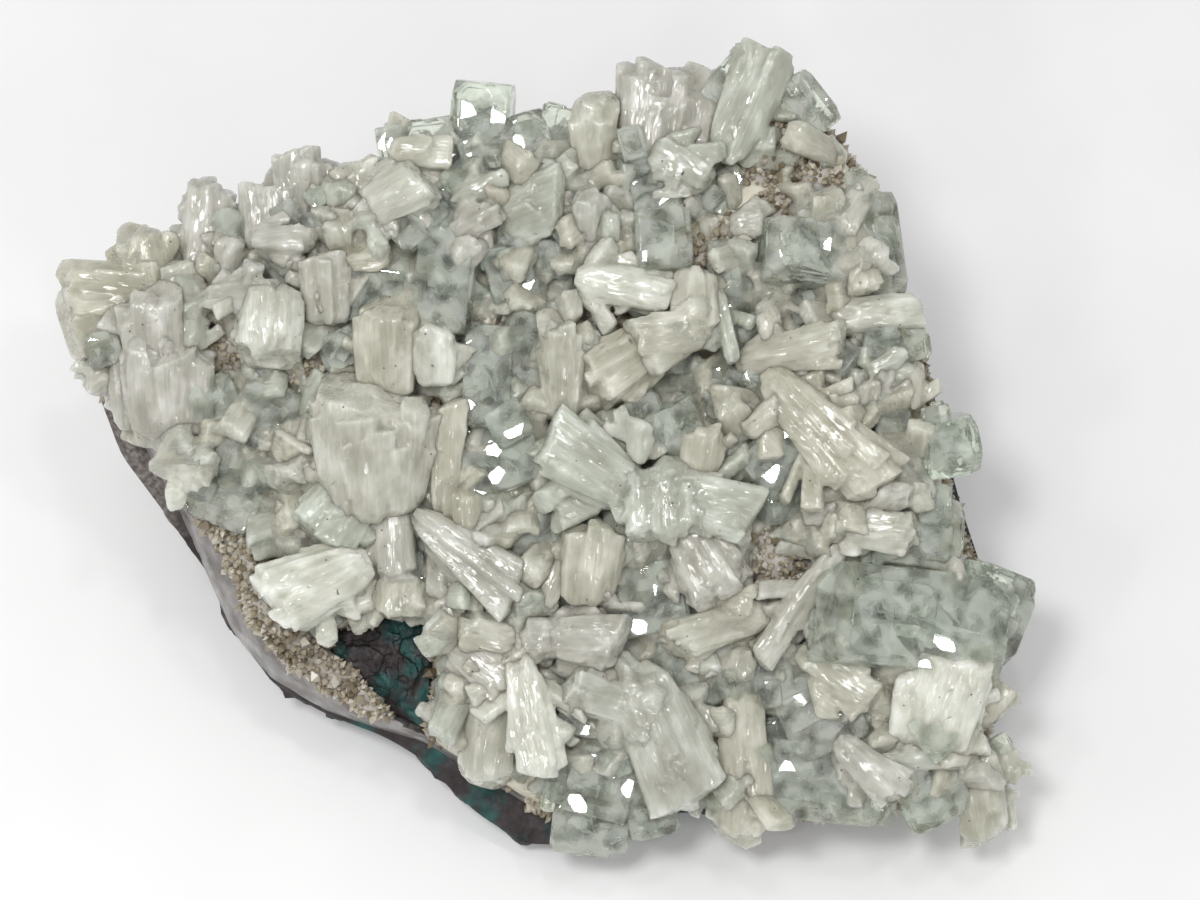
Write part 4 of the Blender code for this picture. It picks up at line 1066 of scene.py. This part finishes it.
class Tree:
    """Builds one material's nodes."""

    def __init__(self, name):
        self.material = bpy.data.materials.new(name)
        self.material.use_nodes = True
        self.tree = self.material.node_tree
        self.shader = self.tree.nodes["Principled BSDF"]
        self.output = self.tree.nodes["Material Output"]

    def node(self, kind, inputs=None, **values):
        node = self.tree.nodes.new(kind)
        for key, value in values.items():
            setattr(node, key, value)
        for key, value in (inputs or {}).items():
            self.put(node.inputs[key], value)
        return node

    def put(self, socket, value):
        if isinstance(value, bpy.types.NodeSocket):
            self.tree.links.new(value, socket)
        else:
            socket.default_value = value

    def set(self, **values):
        for key, value in values.items():
            self.put(self.shader.inputs[key.replace("_", " ")], value)

    def attribute(self, name):
        return self.node("ShaderNodeAttribute", attribute_name=name)

    def noise(self, vector, scale, detail=3.0, stretch=(1, 1, 1), turn=(0.0, 0.0, 0.0)):
        placed = self.node("ShaderNodeMapping", {"Vector": vector, "Scale": stretch, "Rotation": turn})
        return self.node("ShaderNodeTexNoise", {"Vector": placed.outputs[0], "Scale": scale, "Detail": detail}).outputs[0]

    def ramp(self, value, stops):
        ramp = self.node("ShaderNodeValToRGB", {"Fac": value})
        elements = ramp.color_ramp.elements
        while len(elements) < len(stops):
            elements.new(0.5)
        for element, (place, color) in zip(elements, stops):
            element.position = place
            element.color = (*color, 1.0) if isinstance(color, tuple) else (color, color, color, 1.0)
        return ramp.outputs[0]

    def mix(self, share, first, second, blend="MIX"):
        mix = self.node("ShaderNodeMix", data_type="RGBA", blend_type=blend)
        self.put(mix.inputs[0], share)
        self.put(mix.inputs[6], first)
        self.put(mix.inputs[7], second)
        return mix.outputs[2]

    def bump(self, height, strength, distance, normal=None):
        node = self.node("ShaderNodeBump", {"Height": height, "Strength": strength, "Distance": distance})
        if normal is not None:
            self.put(node.inputs["Normal"], normal)
        return node.outputs[0]


    def breaks(self, vector, scale, stretch, strength, distance, normal=None):
        """A bump of flat breaks, each tilted its own way."""
        size = tuple(scale * share for share in stretch)
        placed = self.node("ShaderNodeMapping", {"Vector": vector, "Scale": size, "Rotation": (0.3, 0.2, 0.1)})
        cells = self.node("ShaderNodeTexVoronoi", {"Vector": placed.outputs[0], "Scale": 1.0, "Randomness": 1.0})
        away = self.node("ShaderNodeVectorMath", {0: placed.outputs[0], 1: cells.outputs["Position"]}, operation="SUBTRACT")
        lean = self.node("ShaderNodeVectorMath", {0: cells.outputs["Color"], 1: (0.5, 0.5, 0.5)}, operation="SUBTRACT")
        height = self.node("ShaderNodeVectorMath", {0: away.outputs[0], 1: lean.outputs[0]}, operation="DOT_PRODUCT")
        return self.bump(height.outputs["Value"], strength, distance, normal)


def stilbite_material():
    """Cream-white, pearly and a little translucent, faintly streaked along the blades."""
    m = Tree("stilbite_pearly")
    grain = m.attribute("grain").outputs["Vector"]
    tint = m.attribute("tint").outputs["Fac"]
    cloud = m.noise(grain, 0.25, 2.0, (1.0, 0.6, 1.0))
    body = m.ramp(cloud, [(0.3, (0.40, 0.40, 0.345)), (0.52, (0.50, 0.505, 0.45)), (0.72, (0.65, 0.66, 0.615))])
    streak = m.noise(grain, 1.5, 1.0, (1.4, 0.07, 1.4))
    fibres = m.ramp(streak, [(0.32, (0.95, 0.95, 0.94)), (0.5, (0.99, 0.99, 0.98)), (0.7, (1.06, 1.06, 1.06))])
    body = m.mix(1.0, body, fibres, "MULTIPLY")
    # The top of the tint ramp, which only the pearly crystals reach, lifts them past their own white: a painted sheen.
    hue = m.ramp(tint, [(0.0, (0.99, 0.955, 0.88)), (0.3, (1.0, 0.985, 0.94)), (0.5, (0.96, 0.93, 0.93)),
                        (0.7, (0.90, 0.94, 0.90)), (0.85, (1.0, 0.995, 0.97)), (1.0, (1.32, 1.32, 1.31))])
    color = m.mix(1.0, body, hue, "MULTIPLY")
    dots = m.node("ShaderNodeTexVoronoi", {"Vector": grain, "Scale": 0.42, "Randomness": 1.0}).outputs["Distance"]
    dirty = m.ramp(m.noise(grain, 0.12, 1.0), [(0.5, 0.0), (0.56, 1.0)])
    spots = m.mix(1.0, m.ramp(dots, [(0.05, 1.0), (0.085, 0.0)]), dirty, "MULTIPLY")
    color = m.mix(spots, color, (0.13, 0.10, 0.075, 1))
    m.set(Base_Color=color, Roughness=0.14, IOR=1.5)
    m.set(Subsurface_Weight=1.0, Subsurface_Radius=(0.8, 0.9, 1.0), Subsurface_Scale=0.0045)
    m.set(Coat_Weight=0.3, Coat_Roughness=0.12)
    grooves = m.bump(m.noise(grain, 1.5, 1.0, (1.6, 0.05, 1.6)), 0.4, 0.0002)
    m.set(Coat_Normal=grooves)
    m.set(Normal=m.breaks(grain, 1.6, (1.0, 0.35, 1.0), 0.75, 0.0005, grooves))
    return m.material


def flake_material():
    """Pale cracks and veils inside the clear crystals."""
    m = Tree("pale_flake")
    tint = m.attribute("tint").outputs["Fac"]
    m.set(Base_Color=m.ramp(tint, [(0.0, (0.62, 0.67, 0.58)), (0.3, (0.85, 0.89, 0.82)), (1.0, (1.0, 1.0, 0.98))]))
    m.set(Roughness=0.1, IOR=1.45, Transmission_Weight=0.3)
    return m.material


def apophyllite_material():
    """Clear glass of a pale green, with etched faces."""
    m = Tree("apophyllite_glassy")
    grain = m.attribute("grain").outputs["Vector"]
    tint = m.attribute("tint").outputs["Fac"]
    color = m.ramp(tint, [(0.0, (0.985, 1.0, 0.955)), (0.5, (0.97, 0.995, 0.94)), (1.0, (0.94, 0.985, 0.92))])
    warp = m.node("ShaderNodeTexNoise", {"Vector": grain, "Scale": 0.35, "Detail": 0.0}).outputs["Color"]
    turned = m.node("ShaderNodeVectorMath", {0: warp, 1: (6.0, 6.0, 6.0), 2: grain}, operation="MULTIPLY_ADD").outputs[0]
    shards = m.node("ShaderNodeTexVoronoi", {"Vector": turned, "Scale": 0.9, "Randomness": 1.0}).outputs["Color"]
    veil = m.ramp(shards, [(0.2, (0.92, 0.95, 0.88)), (0.5, (0.985, 0.995, 0.965)), (0.8, (1.0, 1.0, 0.995))])
    clear = m.ramp(m.noise(grain, 0.3, 1.0), [(0.35, 0.93), (0.62, 0.68)])
    calm = m.ramp(m.noise(grain, 0.09, 1.0), [(0.36, 0.0), (0.54, 0.9)])
    veil = m.mix(calm, veil, (0.98, 0.995, 0.96, 1))
    m.set(Base_Color=m.mix(1.0, color, veil, "MULTIPLY"), Transmission_Weight=clear, IOR=1.535)
    m.set(Roughness=0.02)
    m.set(Normal=m.breaks(grain, 0.4, (1.0, 1.0, 1.0), 0.7, 0.0013))
    absorb = m.node("ShaderNodeVolumeAbsorption", {"Color": (0.80, 0.93, 0.76, 1), "Density": 30.0})
    m.put(m.output.inputs["Volume"], absorb.outputs[0])
    return m.material


def quartz_material(name, dark):
    """Grey-cream quartz; the crust under the grains is darker than they are, partly by its own iron stain and partly
    as painted shade between the grains.
    """
    m = Tree(name)
    place = m.node("ShaderNodeTexCoord").outputs["Object"]
    tint = m.attribute("tint").outputs["Fac"]
    blotch = m.noise(place, 90.0, 4.0)
    if dark:
        color = m.ramp(blotch, [(0.3, (0.30, 0.265, 0.22)), (0.55, (0.46, 0.43, 0.38)), (0.8, (0.60, 0.575, 0.53))])
        speck = m.noise(place, 900.0, 2.0)
        color = m.mix(m.ramp(speck, [(0.45, 0.0), (0.7, 0.6)]), color, (0.55, 0.52, 0.47, 1))
        # Pale where tiny crystals crowd the crust; elsewhere darker, partly iron stain and partly painted shade
        # between the grains.
        pale = m.ramp(blotch, [(0.3, (0.50, 0.46, 0.35)), (0.7, (0.76, 0.73, 0.62))])
        color = m.mix(m.ramp(tint, [(0.2, 0.0), (0.8, 1.0)]), color, pale)
        clouds = m.noise(place, 240.0, 5.0)
        waxy = m.ramp(clouds, [(0.3, (0.10, 0.085, 0.075)), (0.48, (0.21, 0.195, 0.185)), (0.62, (0.33, 0.315, 0.305)),
                               (0.75, (0.50, 0.49, 0.47))])
        smooth = m.node("ShaderNodeMath", {0: tint, 1: 1.5}, operation="GREATER_THAN").outputs[0]
        color = m.mix(smooth, color, waxy)
        m.set(Base_Color=color, Roughness=m.ramp(smooth, [(0.0, 0.6), (1.0, 0.3)]))
        m.set(Normal=m.bump(speck, 0.5, 0.0003, m.bump(blotch, 0.6, 0.002)))
    else:
        color = m.ramp(tint, [(0.0, (0.17, 0.13, 0.07)), (0.25, (0.40, 0.34, 0.24)), (0.7, (0.64, 0.58, 0.46)),
                              (1.0, (0.84, 0.81, 0.72))])
        shadow = m.ramp(blotch, [(0.3, (0.55, 0.5, 0.45)), (0.6, (1.0, 1.0, 1.0))])
        m.set(Base_Color=m.mix(1.0, color, shadow, "MULTIPLY"), Roughness=0.28)
        m.set(Transmission_Weight=0.25, IOR=1.54)
    return m.material


def basalt_material():
    """Dark purple-brown basalt with teal celadonite and rusty seams."""
    m = Tree("basalt_with_celadonite")
    place = m.node("ShaderNodeTexCoord").outputs["Object"]
    base = m.ramp(m.noise(place, 260.0, 5.0), [(0.3, (0.014, 0.010, 0.011)), (0.6, (0.036, 0.026, 0.027)), (0.8, (0.075, 0.057, 0.055))])
    teal = m.ramp(m.noise(place, 110.0, 5.0), [(0.50, 0.0), (0.60, 0.85)])
    green = m.ramp(m.noise(place, 420.0, 3.0), [(0.3, (0.005, 0.028, 0.029)), (0.7, (0.018, 0.13, 0.115))])
    height = m.node("ShaderNodeSeparateXYZ", {"Vector": place}).outputs[1]
    front = m.ramp(m.node("ShaderNodeMath", {0: height, 1: 10.0, 2: 0.5}, operation="MULTIPLY_ADD").outputs[0],
                   [(0.3, 1.0), (0.6, 0.15)])
    color = m.mix(m.mix(1.0, teal, front, "MULTIPLY"), base, green)
    rust = m.ramp(m.noise(place, 75.0, 4.0), [(0.62, 0.0), (0.72, 0.55)])
    color = m.mix(rust, color, (0.14, 0.045, 0.03, 1))
    speckled = m.ramp(m.noise(place, 1100.0, 4.0), [(0.35, (0.07, 0.055, 0.05)), (0.52, (0.15, 0.13, 0.12)),
                                                    (0.7, (0.26, 0.24, 0.225))])
    color = m.mix(m.attribute("tint").outputs["Fac"], color, speckled)
    m.set(Base_Color=color, Roughness=m.ramp(m.noise(place, 600.0, 3.0), [(0.3, 0.45), (0.7, 0.85)]))
    coarse = m.bump(m.noise(place, 300.0, 5.0), 0.7, 0.0012)
    m.set(Normal=m.bump(m.noise(place, 1400.0, 3.0), 0.5, 0.0003, coarse))
    return m.material


def floor_material():
    """Plain pale board."""
    m = Tree("pale_board")
    place = m.node("ShaderNodeTexCoord").outputs["Object"]
    m.set(Base_Color=m.ramp(m.noise(place, 30.0, 2.0), [(0.3, (0.86, 0.86, 0.86)), (0.7, (0.89, 0.89, 0.89))]))
    m.set(Roughness=0.7)
    return m.material


def make_crystals(stilbite, apophyllite, flakes):
    """The large crystals node by node, then the smaller ones."""
    rng = random.Random(SEED)
    for name, items in CRYSTALS:
        # Pearly crystals take the top of the tint range: their own white with a painted sheen over it.
        tint = rng.uniform(0.85, 1.0) if name in WHITEST_WITH_PAINTED_SHEEN else rng.uniform(0.0, 0.75)
        if name.startswith("stilbite"):
            bundle = Bundle()
            for item in items:
                bundle.add(item, rng, tint=tint)
            bundle.make(name + "_crystal", stilbite, [name])
        else:
            bag = Bag()
            for item in items:
                add_block(bag, item, rng, flakes, flaws=0)
            bag.make(name + "_crystal", apophyllite, "apophyllite", [name], sharp=12)
    bundle = Bundle()
    for item in SMALL_STILBITE:
        bundle.add(item, rng)
    bundle.make("stilbite_small_sheaves", stilbite, voxel=0.36)
    bag = Bag()
    for item in SMALL_APOPHYLLITE:
        add_block(bag, item, rng, flakes, growths=2, flaws=0)
    bag.make("apophyllite_small_blocks", apophyllite, "apophyllite", sharp=12)


def add_area_light(name, place, aim, size, power, color=(1, 1, 1)):
    """A square softbox turned to face a point."""
    light = bpy.data.lights.new(name, "AREA")
    light.size = size
    light.energy = power
    light.color = color
    lamp = bpy.data.objects.new(name, light)
    lamp.location = place
    lamp.rotation_euler = (Vector(aim) - Vector(place)).to_track_quat("-Z", "Y").to_euler()
    bpy.context.scene.collection.objects.link(lamp)


def make_stage():
    """Floor, world and lights."""
    bpy.ops.mesh.primitive_grid_add(x_subdivisions=8, y_subdivisions=8, size=4.0, location=(0, 0, 0))
    floor = bpy.context.object
    floor.name = "floor"
    floor.data.materials.append(floor_material())
    world = bpy.data.worlds.new("soft_studio")
    bpy.context.scene.world = world
    world.use_nodes = True
    nodes = world.node_tree.nodes
    links = world.node_tree.links
    nodes["Background"].inputs["Strength"].default_value = 0.62
    place = nodes.new("ShaderNodeTexCoord")
    split = nodes.new("ShaderNodeSeparateXYZ")
    ramp = nodes.new("ShaderNodeValToRGB")
    links.new(place.outputs["Generated"], split.inputs[0])
    links.new(split.outputs[2], ramp.inputs[0])
    links.new(ramp.outputs[0], nodes["Background"].inputs["Color"])
    ramp.color_ramp.elements[0].position = 0.0
    ramp.color_ramp.elements[0].color = (0.85, 0.85, 0.85, 1)
    ramp.color_ramp.elements[1].position = 0.9
    ramp.color_ramp.elements[1].color = (1.0, 1.0, 1.0, 1)
    add_area_light("key_softbox", bench([(-130, 130, 650)])[0], (0, 0, 0.04), 0.12, 1.6)
    add_area_light("side_softbox", (-0.5, 0.1, 0.35), (0, 0, 0.04), 0.15, 0.3)
    for index, (u, v) in enumerate([(230, 180), (-260, -90), (140, -240), (60, 300)]):
        add_area_light(f"sparkle_light_{index}", bench([(u, v, 560)])[0], (0, 0, 0.04), 0.045, 0.24)


def make_camera():
    """The photograph's view: straight at the crystal face, with up the slope at the top."""
    distance = 520.0
    picture_width = 200.0
    camera = bpy.data.cameras.new("photo_camera")
    camera.sensor_width = 36.0
    camera.lens = camera.sensor_width * distance / picture_width
    camera.clip_start = 0.01
    eye = bpy.data.objects.new("photo_camera", camera)
    eye.location = bench([(10.0, 0.0, distance)])[0]
    eye.rotation_euler = (FACE_SLOPE, 0.0, 0.0)
    bpy.context.scene.collection.objects.link(eye)
    bpy.context.scene.camera = eye


def main():
    """Dress the frame."""
    make_camera()
    make_stage()
    scene = bpy.context.scene
    scene.view_settings.view_transform = "Standard"
    stilbite = stilbite_material()
    apophyllite = apophyllite_material()
    make_basalt(basalt_material())
    points, faces = make_crust(quartz_material("quartz_crust_dull_painted_shade", True))
    make_druse(points, faces, quartz_material("quartz_grain", False))
    flakes = Bag()
    make_crystals(stilbite, apophyllite, flakes)
    make_fillers(stilbite, apophyllite, flakes)
    flakes.make("veils_in_apophyllite", flake_material(), "apophyllite")


main()
